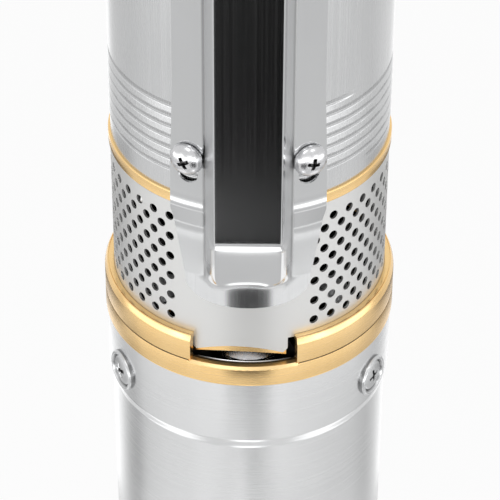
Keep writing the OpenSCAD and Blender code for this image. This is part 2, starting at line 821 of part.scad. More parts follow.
module suction_bracket() {
    rim_z1 = motor_h + bracket_flange_h;
    edge = 0.5;
    notch_half = notch_angle / 2;
    way_half = notch_half + 3;
    ring_z0 = band_z0 - barrel_h;
    color(brass) difference() {
        union() {
            turned([
                [bracket_bore_r, motor_h], [edge_r - fit, motor_h], [edge_r - fit, edge_z + clear],
                [flange_r, edge_z + clear], [flange_r, rim_z1 - rim_chamfer_h],
                [flange_r - rim_chamfer, rim_z1], [rim_bore_r, rim_z1], [rim_bore_r, bracket_plate_z],
                [bracket_bore_r, bracket_plate_z]
            ]);
            for (angle = leg_angles)
                sector(barrel_r - leg_t, barrel_r - clear, bracket_plate_z - over, ring_z0 + over,
                    angle - leg_half_angle, angle + leg_half_angle);
            turned([
                [barrel_r - ring_t, ring_z0], [barrel_r, ring_z0],
                [barrel_r, band_z0], [band_r - edge, band_z0],
                [band_r, band_z0 + edge], [band_r, casing_z0 - edge], [band_r - edge, casing_z0],
                [spigot_r, casing_z0], [spigot_r, spigot_z1 - edge], [spigot_r - edge, spigot_z1],
                [spigot_bore_r, spigot_z1], [spigot_bore_r, ring_z0 + 4]
            ]);
        }
        sector(
            barrel_r, flange_r + over, motor_h - over, rim_z1 + over,
            notch_turn - notch_half, notch_turn + notch_half
        );
        sector(bracket_bore_r - over, barrel_r + over, motor_h - over, motor_h + cable_way_h,
            notch_turn - way_half, notch_turn + way_half);
        on_circle(4, stud_r, 45) rod(stud_d / 2 + clear, motor_h - over, bracket_plate_z + over);
        for (side = [-1, 1]) facing(side * guard_screw_angle, guard_screw_low_z)
            rod(screw_d / 2 + fit, spigot_bore_r - over, spigot_r + over);
    }
}

// Lower edge of the tab: an arch between two rounded corners, drawn in X and Z
module tab_outline() {
    steps = 16;
    z_low = strainer_z0 - tab_drop;
    half = tab_half_w - tab_corner;
    polygon(concat(
        [[-tab_half_w, strainer_z0 + over], [-tab_half_w, z_low + tab_corner]],
        [for (k = [0:steps]) let (x = half * (2 * k / steps - 1))
            [x, z_low + tab_arch * (1 - pow(x / half, 2))]],
        [[tab_half_w, z_low + tab_corner], [tab_half_w, strainer_z0 + over]]
    ));
}

module strainer() {
    color(steel) rotate([0, 0, strainer_turn]) difference() {
        union() {
            tube(strainer_r, strainer_bore_r, strainer_z0, strainer_z1);
            intersection() {
                tube(strainer_r, strainer_bore_r, strainer_z0 - tab_drop - over, strainer_z0 + over);
                rotate([0, 0, tab_turn]) through_front() tab_outline();
            }
        }
        for (k = [0:columns - 1])
            let (even = k % 2 == 0, rows = even ? hole_rows : hole_rows - 1)
                for (row = [0:rows])
                    facing(first_column + k * column_angle,
                        strainer_mid_z - hole_drop + (row - rows / 2) * hole_pitch)
                        rod(hole_d / 2, strainer_bore_r - over, strainer_r + over);
        rotate([0, 0, -strainer_turn]) through_front()
            translate([-window_w / 2, window_z0]) square([window_w, window_z1 - window_z0]);
    }
}

// Pump

module coupling() {
    edge = 1;
    hex_bore_r = hex_r + run;
    color(steel) difference() {
        turned([
            [spline_d / 2 + fit, coupling_z0], [coupling_r - edge, coupling_z0],
            [coupling_r, coupling_z0 + edge],
            [coupling_r, coupling_z1 - edge], [coupling_r - edge, coupling_z1], [0, coupling_z1],
            [0, spline_z1], [spline_d / 2 + fit, spline_z1]
        ]);
        translate([0, 0, pump_shaft_z0]) cylinder(r = hex_bore_r, h = far, $fn = 6);
    }
}

module pump_shaft() {
    color(steel) union() {
        translate([0, 0, pump_shaft_z0]) cylinder(r = hex_r, h = shaft_top_z - pump_shaft_z0, $fn = 6);
        rod(hub_r - 0.5, collar_z0, stage_z0);
    }
}

// Profile of the casing between its ends, with the rolled grooves pressed into it
function rolled(r, z_first) = [
    for (k = [0:thread_turns - 1], p = [[-1, 0], [-1, 1], [1, 1], [1, 0]])
        [r - p[1] * thread_depth,
         z_first + k * thread_pitch + p[0] * (thread_valley + (1 - p[1]) * thread_slope)]
];

module pump_casing() {
    hole_r = screw_d / 2 + 0.25;
    color(steel) difference() {
        shell(
            concat([[casing_r, casing_z0]], rolled(casing_r, thread_low_z), rolled(casing_r, thread_high_z),
                [[casing_r, casing_z1]]),
            concat([[casing_bore_r, casing_z0]], rolled(casing_bore_r, thread_low_z),
                rolled(casing_bore_r, thread_high_z), [[casing_bore_r, casing_z1]])
        );
        for (side = [-1, 1], z = [guard_screw_low_z, guard_screw_high_z])
            facing(side * guard_screw_angle, z) rod(hole_r, casing_bore_r - 2, casing_r + over);
    }
}

// Plan of one curved blade between two radii: half of a ring whose centre lies off the axis
module blade_plan(r_in, r_out, bow) {
    intersection() {
        ring_plan(r_in, r_out);
        translate([0.53 * r_out, 0]) ring_plan(0.59 * r_out - blade_t / 2, 0.59 * r_out + blade_t / 2);
        translate([-2 * r_out, bow > 0 ? 0 : -2 * r_out]) square([4 * r_out, 2 * r_out]);
    }
}

module inlet_ring() {
    color(plastic) tube(stage_r, eye_r, spigot_z1, stage_z0);
}

module impeller(stage) {
    z0 = stage_z0 + (stage - 1) * stage_pitch;
    low_z = z0 + impeller_lift;
    top_z = low_z + shroud_t + passage_h;
    skirt_r = eye_r - 0.4;
    color(ivory) difference() {
        union() {
            rod(hub_r, z0, z0 + stage_pitch);
            turned([
                [skirt_r - skirt_t, z0 - skirt_dip], [skirt_r, z0 - skirt_dip], [skirt_r, low_z],
                [impeller_r, low_z], [impeller_r, low_z + shroud_t], [skirt_r - skirt_t, low_z + shroud_t]
            ]);
            tube(impeller_r, hub_r - over, top_z, top_z + shroud_t);
            raised(low_z + shroud_t / 2, top_z + shroud_t / 2)
                for (k = [0:blade_count - 1]) rotate(k * 360 / blade_count)
                    blade_plan(skirt_r - skirt_t / 2, impeller_r - 0.3, 1);
        }
        translate([0, 0, z0 - over]) cylinder(r = hex_r + run, h = stage_pitch + 2 * over, $fn = 6);
    }
}

module diffuser(stage) {
    z0 = stage_z0 + (stage - 1) * stage_pitch;
    z1 = z0 + stage_pitch;
    wall_r = stage_r - stage_wall;
    bush_r = hub_r + clear;
    color(plastic) union() {
        turned([
            [wall_r, z0], [stage_r, z0], [stage_r, z1],
            [eye_r, z1], [eye_r, z1 - plate_t], [wall_r, z1 - plate_t]
        ]);
        tube(impeller_r + 2.5, bush_r, z0 + plate_z, z0 + plate_z + plate_t);
        raised(z0 + plate_z + plate_t / 2, z1 - plate_t / 2)
            for (k = [0:vane_count - 1]) rotate(k * 360 / vane_count) blade_plan(eye_r + 1, wall_r + 0.5, -1);
    }
}

module shaft_sleeve() {
    color(steel) difference() {
        rod(hub_r, stage_top_z, sleeve_z1);
        translate([0, 0, stage_top_z - over]) cylinder(r = hex_r + run, h = far, $fn = 6);
    }
}

module shaft_nut() {
    color(steel) difference() {
        translate([0, 0, sleeve_z1]) cylinder(r = hub_r, h = shaft_nut_h, $fn = 6);
        translate([0, 0, sleeve_z1 - over]) cylinder(r = hex_r + run, h = far, $fn = 6);
    }
}

module top_spider() {
    arm_w = 6;
    arm_z0 = stage_top_z + 4;
    arm_z1 = spider_z1 - 4;
    color(plastic) union() {
        tube(stage_r, stage_r - stage_wall, stage_top_z, spider_z1);
        tube(spider_hub_r, bush_r + fit, stage_top_z + 1, spider_z1);
        for (k = [0:2]) rotate([0, 0, k * 120])
            translate([spider_hub_r - over, -arm_w / 2, arm_z0])
                cube([stage_r - stage_wall / 2 - spider_hub_r + over, arm_w, arm_z1 - arm_z0]);
    }
}

module top_bush() {
    color(rubber) tube(bush_r, hub_r + run, stage_top_z + 1, spider_z1);
}

// Discharge head with its check valve

module rope_lug(side) {
    intersection() {
        translate([0, lug_t / 2, 0]) rotate([90, 0, 0]) linear_extrude(height = lug_t) {
            translate([side * lug_x, lug_z]) circle(r = lug_r);
            translate([side > 0 ? head_af / 2 - over : -lug_x, lug_z - lug_r - 8])
                square([lug_x - head_af / 2 + over, 2 * lug_r + 8]);
            translate([side > 0 ? lug_x - over : -lug_x - lug_r, casing_z1 + head_rim_h - 3])
                square([lug_r + over, lug_z - casing_z1 - head_rim_h + 3]);
        }
        rod(head_rim_r, casing_z1 + 1, head_z1);
    }
}

module discharge_head() {
    groove_z = spider_z1 + 3.5;
    dome_steps = 10;
    dome_h = neck_z0 - casing_z1 - head_rim_h;
    dome_w = head_rim_r - 1 - head_af / 2;
    edge = 1;
    color(brass) difference() {
        union() {
            turned(concat(
                [[0, spider_z1], [spigot_r, spider_z1], [spigot_r, casing_z1], [head_rim_r, casing_z1],
                 [head_rim_r, casing_z1 + head_rim_h - edge]],
                [for (k = [0:dome_steps]) let (a = 90 * k / dome_steps)
                    [head_af / 2 + dome_w * cos(a), casing_z1 + head_rim_h + dome_h * sin(a)]],
                [[0, neck_z0]]
            ));
            translate([0, 0, neck_z0 - 2]) rotate([0, 0, 30])
                cylinder(r = head_af / 2 / cos(30), h = head_z1 - neck_z0 + 2, $fn = 6);
            rope_lug(1);
            rope_lug(-1);
        }
        turned([
            [0, spider_z1 - over], [seat_r, spider_z1 - over], [seat_r, seat_z1], [chamber_r, seat_z1],
            [chamber_r, chamber_z1], [throat_r, chamber_z1], [throat_r, throat_z1],
            [outlet_r, outlet_z0], [outlet_r, head_z1 + over], [0, head_z1 + over]
        ]);
        turned([
            [outlet_r - over, head_z1 + 0.01], [outlet_r - over, head_z1 - 1.5], [outlet_r, head_z1 - 1.5],
            [outlet_r + 1.5, head_z1], [outlet_r + 1.5, head_z1 + over], [outlet_r - over, head_z1 + over]
        ]);
        tube(spigot_r + over, spigot_r - ring_section, groove_z - 1.5, groove_z + 1.5);
        for (side = [-1, 1]) {
            translate([side * lug_x, far / 2, lug_z]) rotate([90, 0, 0]) cylinder(d = eye_hole_d, h = far);
            facing(side * guard_screw_angle, guard_screw_high_z)
                rod(screw_d / 2 + fit, spigot_r - 4, spigot_r + over);
        }
    }
}

module head_o_ring() {
    section = (ring_section + casing_bore_r - spigot_r) / 2;
    color(rubber) o_ring(casing_bore_r - section, section - fit, spider_z1 + 3.5);
}

module valve_seat() {
    lip = 2;
    color(steel) turned([
        [seat_bore_r, seat_z1 - seat_h], [seat_r - fit, seat_z1 - seat_h], [seat_r - fit, seat_z1],
        [seat_bore_r + lip, seat_z1], [seat_bore_r, seat_z1 - lip]
    ]);
}

module valve_poppet() {
    edge = 1.5;
    color(plastic) turned([
        [0, seat_z1 - 3], [seat_bore_r - 3.5, seat_z1 - 3], [seat_bore_r - 0.5, seat_z1],
        [poppet_d / 2 + 1, seat_z1], [poppet_d / 2 + 1, poppet_z1 - edge],
        [poppet_d / 2 + 1 - edge, poppet_z1], [stem_r, poppet_z1],
        [stem_r, stem_z1 - 1], [stem_r - 1, stem_z1],
        [0, stem_z1]
    ]);
}

// Round wire wound on a helix: each ring of points stands in the plane through the axis
function spring_ring(k) = let (
    turn = 360 * k / spring_steps,
    low = poppet_z1 + spring_wire_r + fit,
    high = guide_z0 - spring_wire_r - fit,
    z = low + (high - low) * k / (spring_turns * spring_steps)
) [
    for (j = [0:spring_sides - 1]) let (b = 360 * j / spring_sides, r = spring_r + spring_wire_r * cos(b))
        [r * cos(turn), r * sin(turn), z + spring_wire_r * sin(b)]
];

module valve_spring() {
    last = spring_turns * spring_steps;
    n = spring_sides;
    points = [for (k = [0:last]) each spring_ring(k)];
    sides = [
        for (k = [0:last - 1], j = [0:n - 1]) let (a = k * n + j, b = k * n + (j + 1) % n)
            each [[a, b, a + n], [b, b + n, a + n]]
    ];
    caps = [[for (j = [n - 1:-1:0]) j], [for (j = [0:n - 1]) last * n + j]];
    color(steel) polyhedron(points, concat(sides, caps));
}

module valve_guide() {
    arm_w = 4;
    ring_r = chamber_r - fit;
    color(plastic) difference() {
        union() {
            tube(ring_r, ring_r - guide_ring_t, guide_z0, chamber_z1);
            tube(guide_hub_r, stem_r + run, guide_z0, chamber_z1);
            for (k = [0:2]) rotate([0, 0, k * 120])
                translate([guide_hub_r - over, -arm_w / 2, guide_z0])
                    cube([ring_r - guide_ring_t / 2 - guide_hub_r + over, arm_w, guide_h]);
        }
        rod(stem_r + run, guide_z0 - over, chamber_z1 + over);
    }
}

// Cable guard: a pressed sheet with side flanges, a flat crown, a ramp and a rounded tongue

// Solid of revolution that the guard lies on, grown by a sheet thickness
module guard_bed(grow) {
    turned([
        [0, guard_z0 - over], [guard_low_r + grow, guard_z0 - over], [guard_low_r + grow, joggle_z0],
        [guard_high_r + grow, joggle_z1], [guard_high_r + grow, guard_z1 + over], [0, guard_z1 + over]
    ]);
}

// Front view of the guard's flanges: straight above, tapered over the strainer, round at the foot
module guard_outline() {
    steps = 24;
    side = [for (k = [0:steps]) let (a = 90 * k / steps)
        [tongue_half_w * pow(cos(a), 2 / tongue_power),
         tongue_z - (tongue_z - guard_z0) * pow(sin(a), 2 / tongue_power)]];
    right = concat(
        [[guard_half_w + 2, guard_z1], [guard_half_w + 2, joggle_z0], [guard_half_w, joggle_z0]],
        side
    );
    polygon(concat(right, [for (k = [len(right) - 2:-1:0]) [-right[k][0], right[k][1]]]));
}

// Plan and side view of the crown and ramp, drawn in by a sheet thickness
module hat(inset) {
    depth = far / 8;
    y = -crown_y + inset;
    half = crown_w / 2 + wall_draft * inset - inset * sqrt(1 + pow(wall_draft, 2));
    foot_half = half + wall_draft * depth;
    slant = inset * sqrt(1 + pow(ramp_slope, 2));
    bend_z = inset > 0 ? crown_z0 - (slant - inset) / ramp_slope : crown_z0;
    foot_y = -guard_low_r + slant + ramp_slope;
    cut = inset > 0 ? over : 0;
    intersection() {
        raised(ramp_z0 - far, guard_z1 + cut)
            polygon([[-foot_half, y + depth], [-half, y], [half, y], [foot_half, y + depth]]);
        rotate([90, 0, 90]) translate([0, 0, -far / 2]) linear_extrude(height = far)
            polygon([
                [y, bend_z], [y, guard_z1 + cut], [y + depth, guard_z1 + cut], [y + depth, ramp_z0 - over],
                [foot_y, ramp_z0 - over]
            ]);
    }
}

module guard_slots(z) {
    for (side = [-1, 1]) facing(side * guard_screw_angle, z) {
        rod(guard_slot_r, casing_r, crown_y);
        translate([0, -guard_slot_drop, 0]) rod(guard_slot_r, casing_r, crown_y);
        translate([-guard_slot_r, -guard_slot_drop, casing_r])
            cube([2 * guard_slot_r, guard_slot_drop, crown_y - casing_r]);
    }
}

module cable_guard() {
    color(steel) difference() {
        union() {
            intersection() {
                guard_bed(guard_t);
                sector(
                    casing_r / 2, crown_y + over, guard_z0 - over, guard_z1,
                    -guard_half_angle, guard_half_angle
                );
                through_front() guard_outline();
            }
            hat(0);
        }
        guard_bed(0);
        hat(guard_t);
        guard_slots(guard_screw_low_z);
        guard_slots(guard_screw_high_z);
    }
}

module guard_screws(z, tip_r) {
    seat_r = guard_high_r + guard_t + fit;
    head_r = guard_screw_head_d / 2;
    steps = 6;
    color(steel) for (side = [-1, 1]) facing(side * guard_screw_angle, z) turned(concat(
        [[0, tip_r], [screw_d / 2, tip_r], [screw_d / 2, seat_r + 0.3], [head_r, seat_r + 0.3]],
        [for (k = [0:steps]) let (a = 90 * k / steps)
            [head_r * pow(cos(a), 0.6), seat_r + 1 + (guard_screw_head_h - 1) * sin(a)]]
    ));
}

module guard_screws_lower() {
    guard_screws(guard_screw_low_z, spigot_bore_r + 1);
}

module guard_screws_upper() {
    guard_screws(guard_screw_high_z, spigot_r - 3.5);
}

end_cap();
end_screws();
diaphragm();
lower_cover();
cover_o_ring();
lower_bearing_outer();
lower_bearing_inner();
lower_bearing_balls();
motor_casing();
stator_core();
stator_winding();
rotor_core();
motor_shaft();
upper_bearing_outer();
upper_bearing_inner();
upper_bearing_balls();
seal_seat();
seal_ring();
sand_slinger();
motor_top_flange();
flange_o_ring();
seal_cover();
cable_gland();
gland_grommet();
motor_screws();
cup_washers();
flange_studs();
flange_nuts();
suction_bracket();
strainer();
coupling();
pump_shaft();
pump_casing();
inlet_ring();
for (k = [1:stage_count]) {
    impeller(k);
    diffuser(k);
}
shaft_sleeve();
shaft_nut();
top_spider();
top_bush();
discharge_head();
head_o_ring();
valve_seat();
valve_poppet();
valve_spring();
valve_guide();
cable_guard();
guard_screws_lower();
guard_screws_upper();
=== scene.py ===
"""Finishes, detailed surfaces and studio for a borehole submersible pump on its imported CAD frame.

Lengths in the classes are millimetres, and Skin turns them into metres.
Angles count from the front, -Y, towards +X.
"""

import json
import logging
import math
from dataclasses import dataclass
from enum import Enum

import bmesh
import bpy
import numpy as np
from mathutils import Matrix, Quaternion, Vector

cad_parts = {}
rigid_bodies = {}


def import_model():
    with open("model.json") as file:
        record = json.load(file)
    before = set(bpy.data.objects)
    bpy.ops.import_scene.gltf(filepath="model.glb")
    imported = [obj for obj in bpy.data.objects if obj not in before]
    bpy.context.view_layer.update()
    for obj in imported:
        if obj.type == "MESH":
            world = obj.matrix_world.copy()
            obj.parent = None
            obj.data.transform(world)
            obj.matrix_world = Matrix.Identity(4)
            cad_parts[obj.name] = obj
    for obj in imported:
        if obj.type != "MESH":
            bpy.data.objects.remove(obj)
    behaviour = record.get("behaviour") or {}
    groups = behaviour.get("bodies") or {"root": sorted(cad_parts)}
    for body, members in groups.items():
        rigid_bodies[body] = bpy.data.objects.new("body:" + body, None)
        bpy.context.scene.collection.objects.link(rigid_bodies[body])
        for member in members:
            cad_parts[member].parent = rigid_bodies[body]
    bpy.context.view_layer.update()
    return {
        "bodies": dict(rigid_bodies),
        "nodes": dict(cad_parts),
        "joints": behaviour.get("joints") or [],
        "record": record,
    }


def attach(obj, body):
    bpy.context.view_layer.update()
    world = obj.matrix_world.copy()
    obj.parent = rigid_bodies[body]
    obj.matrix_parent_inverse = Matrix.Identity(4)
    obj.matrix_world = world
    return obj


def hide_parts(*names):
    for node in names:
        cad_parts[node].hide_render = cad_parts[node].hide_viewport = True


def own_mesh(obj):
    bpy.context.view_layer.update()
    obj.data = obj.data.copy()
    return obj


Array = np.ndarray
Triple = tuple[float, float, float]
Socket = bpy.types.NodeSocket
Value = Socket | float | Triple
log = logging.getLogger("pump")

# Colour of painted shade, and cells per metre of the stain on bare metal
SHADE_BLACK: Triple = (0.012, 0.011, 0.01)
CLOUD: Triple = (38.0, 38.0, 22.0)
# Range that holds most of a noise, and the weight of its finer octaves
NOISE_MIDDLE = (0.3, 0.7)
NOISE_ROUGHNESS = 0.55
# Depths in metres of tool lines, moulded grain and stacked layers
LINE_DEPTH, GRAIN_DEPTH, LAYER_DEPTH = 0.00004, 0.00006, 0.0002
# Points on a rounded corner and rows of a whole turn
ROUND_STEPS, RING_STEPS = 6, 256
# Brightness that a card's colours are scaled to, because a colour ramp stops at 1
CARD_WHITE = 3.0
SIDES = ((-1, "left"), (1, "right"))


class Body(Enum):
    """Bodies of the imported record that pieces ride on."""

    PUMP = "pump"


class Lay(Enum):
    """Direction of the fine lines that a tool leaves in a surface, as noise cells per metre."""

    AROUND = (5.0, 5.0, 4200.0)
    ALONG = (4200.0, 4200.0, 5.0)
    BLASTED = (2600.0, 2600.0, 2600.0)


class Graph:
    """A material's node tree, with short calls for the nodes that the finishes share."""

    def __init__(self, name: str) -> None:
        """Starts a material with a Principled shader.

        Args:
            name: Name of the material.
        """
        self.material = bpy.data.materials.new(name)
        self.material.use_nodes = True
        self.nodes = self.material.node_tree.nodes
        self.links = self.material.node_tree.links
        self.shader = self.nodes["Principled BSDF"]

    def add(self, kind: str, **settings: object) -> bpy.types.Node:
        """Makes a node.

        Args:
            kind: Blender's type name of the node.
            settings: Properties of the node by name.

        Returns:
            The new node.
        """
        node = self.nodes.new(kind)
        for key, value in settings.items():
            setattr(node, key, value)
        return node

    def put(self, target: Socket, value: Value) -> None:
        """Links a socket to a node's input, or sets a number or a colour there.

        Args:
            target: Input of a node.
            value: A socket, a number or a colour.
        """
        if isinstance(value, Socket):
            self.links.new(value, target)
        else:
            target.default_value = (*value, 1.0) if isinstance(value, tuple) else value

    def feed(self, name: str, value: Value) -> None:
        """Puts a value into an input of the Principled shader."""
        self.put(self.shader.inputs[name], value)

    def show(self, shader: Socket) -> None:
        """Links a shader to the material's output."""
        self.links.new(shader, self.nodes["Material Output"].inputs["Surface"])

    def maths(self, operation: str, *values: Value) -> Socket:
        """Gives the result of a Math node.

        Args:
            operation: Blender's name of the operation.
            values: Its inputs in order.

        Returns:
            The socket with the result.
        """
        node = self.add("ShaderNodeMath", operation=operation)
        for target, value in zip(node.inputs, values):
            self.put(target, value)
        return node.outputs[0]

    def mapped(self, value: Socket, start: float, stop: float, low: Value = 0.0, high: Value = 1.0,
               **settings: object) -> Socket:
        """Maps a value from one range to another and holds it at the ends.

        Args:
            value: Socket with the value.
            start: Value that gives low.
            stop: Value that gives high.
            low: Result at the start.
            high: Result at the stop.
            settings: Properties of the node by name.

        Returns:
            The socket with the result.
        """
        node = self.add("ShaderNodeMapRange", **settings)
        names = ("Value", "From Min", "From Max", "To Min", "To Max")
        for name, part in zip(names, (value, start, stop, low, high)):
            self.put(node.inputs[name], part)
        return node.outputs["Result"]

    def place(self, scale: Triple) -> Socket:
        """Gives Object coordinates stretched along each axis.

        Args:
            scale: Factor for X, Y and Z.

        Returns:
            The socket with the stretched coordinates.
        """
        mapping = self.add("ShaderNodeMapping")
        mapping.inputs["Scale"].default_value = scale
        self.links.new(self.add("ShaderNodeTexCoord").outputs["Object"], mapping.inputs["Vector"])
        return mapping.outputs["Vector"]

    def parts(self, scale: Triple) -> tuple[Socket, ...]:
        """Gives the X, Y and Z of stretched Object coordinates."""
        node = self.add("ShaderNodeSeparateXYZ")
        self.links.new(self.place(scale), node.inputs[0])
        return tuple(node.outputs)

    def off_axis(self, scale: float) -> Socket:
        """Gives the distance from the pump's axis in metres times a scale."""
        node = self.add("ShaderNodeVectorMath", operation="LENGTH")
        self.links.new(self.place((scale, scale, 0.0)), node.inputs[0])
        return node.outputs["Value"]

    def noise(self, scale: Triple, detail: float = 3.0) -> Socket:
        """Gives a noise on stretched Object coordinates.

        Args:
            scale: Cells per metre along X, Y and Z.
            detail: Octaves of the noise.

        Returns:
            The socket with the noise value.
        """
        node = self.add("ShaderNodeTexNoise")
        settings = {"Scale": 1.0, "Detail": detail, "Roughness": NOISE_ROUGHNESS, "Vector": self.place(scale)}
        for name, value in settings.items():
            self.put(node.inputs[name], value)
        return node.outputs["Fac"]

    def spread(self, value: Socket, low: float, high: float) -> Socket:
        """Spreads the middle of a noise between two values."""
        return self.mapped(value, *NOISE_MIDDLE, low, high)

    def mix(self, value: Socket, first: Value, second: Value) -> Socket:
        """Mixes two colours by a value.

        Args:
            value: Socket with the mixing value from 0 to 1.
            first: Colour at 0.
            second: Colour at 1.

        Returns:
            The socket with the mixed colour.
        """
        node = self.add("ShaderNodeMix", data_type="RGBA")
        for index, part in ((0, value), (6, first), (7, second)):
            self.put(node.inputs[index], part)
        return node.outputs[2]

    def within(self, radius: float) -> Socket:
        """Gives 1 nearer to the axis than a radius in millimetres and 0 beyond, with 0.1 mm between."""
        return self.mapped(self.off_axis(1000.0), radius - 0.1, radius, 1.0, 0.0)

    def beside(self, middle: float, half: float, low: float) -> Socket:
        """Gives 1 in two upright strips either side of the pump's middle plane and 0 outside them.

        The value falls over half a millimetre where ||x| - middle| passes half, and over 6 mm at the
        strips' lower end.

        Args:
            middle: Distance of a strip's middle from the plane in millimetres.
            half: Half of a strip's width.
            low: Level of the strips' lower end.

        Returns:
            The socket with the value.
        """
        x, _, z = self.parts((1000.0, 1000.0, 1000.0))
        for shift in (0.0, middle):
            x = self.maths("ABSOLUTE", self.maths("SUBTRACT", x, shift))
        strips = self.mapped(x, half - 0.25, half + 0.25, 1.0, 0.0)
        return self.maths("MULTIPLY", strips, self.mapped(z, low, low + 6.0))

    def relief(self, value: Socket, strength: float, depth: float) -> None:
        """Bumps the shader's normal.

        Args:
            value: Socket with the height.
            strength: Strength of the bump.
            depth: Height in metres that a value of 1 stands for.
        """
        node = self.add("ShaderNodeBump")
        for name, part in (("Strength", strength), ("Distance", depth), ("Height", value)):
            self.put(node.inputs[name], part)
        self.feed("Normal", node.outputs["Normal"])

    def shine(self, colour: Value, strength: Value) -> Socket:
        """Gives a shader that glows in a colour."""
        node = self.add("ShaderNodeEmission")
        self.put(node.inputs["Color"], colour)
        self.put(node.inputs["Strength"], strength)
        return node.outputs[0]


@dataclass(frozen=True)
class MetalFinish:
    """A bare metal with the fine lines of its last tool and a slight cloud of stain.

    Attributes:
        name: Name of the material.
        colour: Colour of the clean metal.
        stain: Colour of the cloudy places.
        roughness: Mean roughness.
        spread: How far the tool's lines move the roughness.
        lay: Direction of the lines.
        relief: Strength of the lines' bump.
        inside: Radius in millimetres within which the metal is painted near-black as shade, or 0.
        soiled: Whether the piece's own soil attribute paints shade into the metal.
        dull: Place, half width and lower end in millimetres of two duller strips, or nothing.
        dulling: How much those strips add to the roughness.
    """

    name: str
    colour: Triple
    stain: Triple
    roughness: float
    spread: float
    lay: Lay
    relief: float
    inside: float = 0.0
    soiled: bool = False
    dull: Triple | None = None
    dulling: float = 0.25

    def material(self) -> bpy.types.Material:
        """Makes the material: noise lines drive roughness and bump, and a wide noise the colour."""
        graph = Graph(self.name)
        lines = graph.noise(self.lay.value, 2.0)
        cloud = graph.noise(CLOUD, 4.0)
        colour = graph.mix(graph.spread(cloud, 0.0, 1.0), self.stain, self.colour)
        # Painted shade: inside the given radius, and where the piece's shade attribute is set, the colour is
        # mixed towards near-black to stand in for shade.
        if self.inside:
            colour = graph.mix(graph.within(self.inside), colour, SHADE_BLACK)
        if self.soiled:
            soil = graph.add("ShaderNodeAttribute", attribute_name="soil").outputs["Fac"]
            colour = graph.mix(soil, colour, SHADE_BLACK)
        graph.feed("Base Color", colour)
        rough = graph.spread(lines, self.roughness - self.spread, self.roughness + self.spread)
        if self.dull:
            rough = graph.maths("MULTIPLY_ADD", graph.beside(*self.dull), self.dulling, rough)
        graph.feed("Roughness", rough)
        graph.feed("Metallic", 1.0)
        graph.relief(lines, self.relief, LINE_DEPTH)
        return graph.material


@dataclass(frozen=True)
class MouldedFinish:
    """A moulded plastic or rubber with a fine grain.

    Attributes:
        name: Name of the material.
        colour: Main colour.
        shade: Colour of the grain's low places.
        roughness: Mean roughness.
        grain: Cells of the grain per metre.
        spread: How far the grain moves the roughness.
    """

    name: str
    colour: Triple
    shade: Triple
    roughness: float
    grain: float
    spread: float = 0.08

    def material(self) -> bpy.types.Material:
        """Makes the material: one fine grain moves colour, roughness and bump together."""
        graph = Graph(self.name)
        grain = graph.noise((self.grain,) * 3)
        graph.feed("Base Color", graph.mix(graph.spread(grain, 0.0, 1.0), self.shade, self.colour))
        low, high = self.roughness - self.spread, self.roughness + self.spread
        graph.feed("Roughness", graph.spread(grain, low, high))
        graph.relief(grain, 0.25, GRAIN_DEPTH)
        return graph.material


@dataclass(frozen=True)
class StackFinish:
    """Layers or strands seen edge on: punched laminations or wound wire.

    Attributes:
        name: Name of the material.
        colour: Colour of a layer.
        gap: Colour between two layers.
        metallic: 1 for bare metal, 0 for lacquer.
        pitch: Waves per metre along X, Y and Z.
    """

    name: str
    colour: Triple
    gap: Triple
    metallic: float
    pitch: Triple

    def material(self) -> bpy.types.Material:
        """Makes the material: a wave along the pitch gives the layers, with noise in their roughness."""
        graph = Graph(self.name)
        wave = graph.add("ShaderNodeTexWave", bands_direction="DIAGONAL")
        for name, value in (("Scale", 1.0), ("Distortion", 0.6), ("Vector", graph.place(self.pitch))):
            graph.put(wave.inputs[name], value)
        layers = wave.outputs["Fac"]
        graph.feed("Base Color", graph.mix(graph.spread(layers, 0.0, 1.0), self.gap, self.colour))
        graph.feed("Roughness", graph.spread(graph.noise((900.0,) * 3), 0.32, 0.5))
        graph.feed("Metallic", self.metallic)
        graph.relief(layers, 0.4, LAYER_DEPTH)
        return graph.material


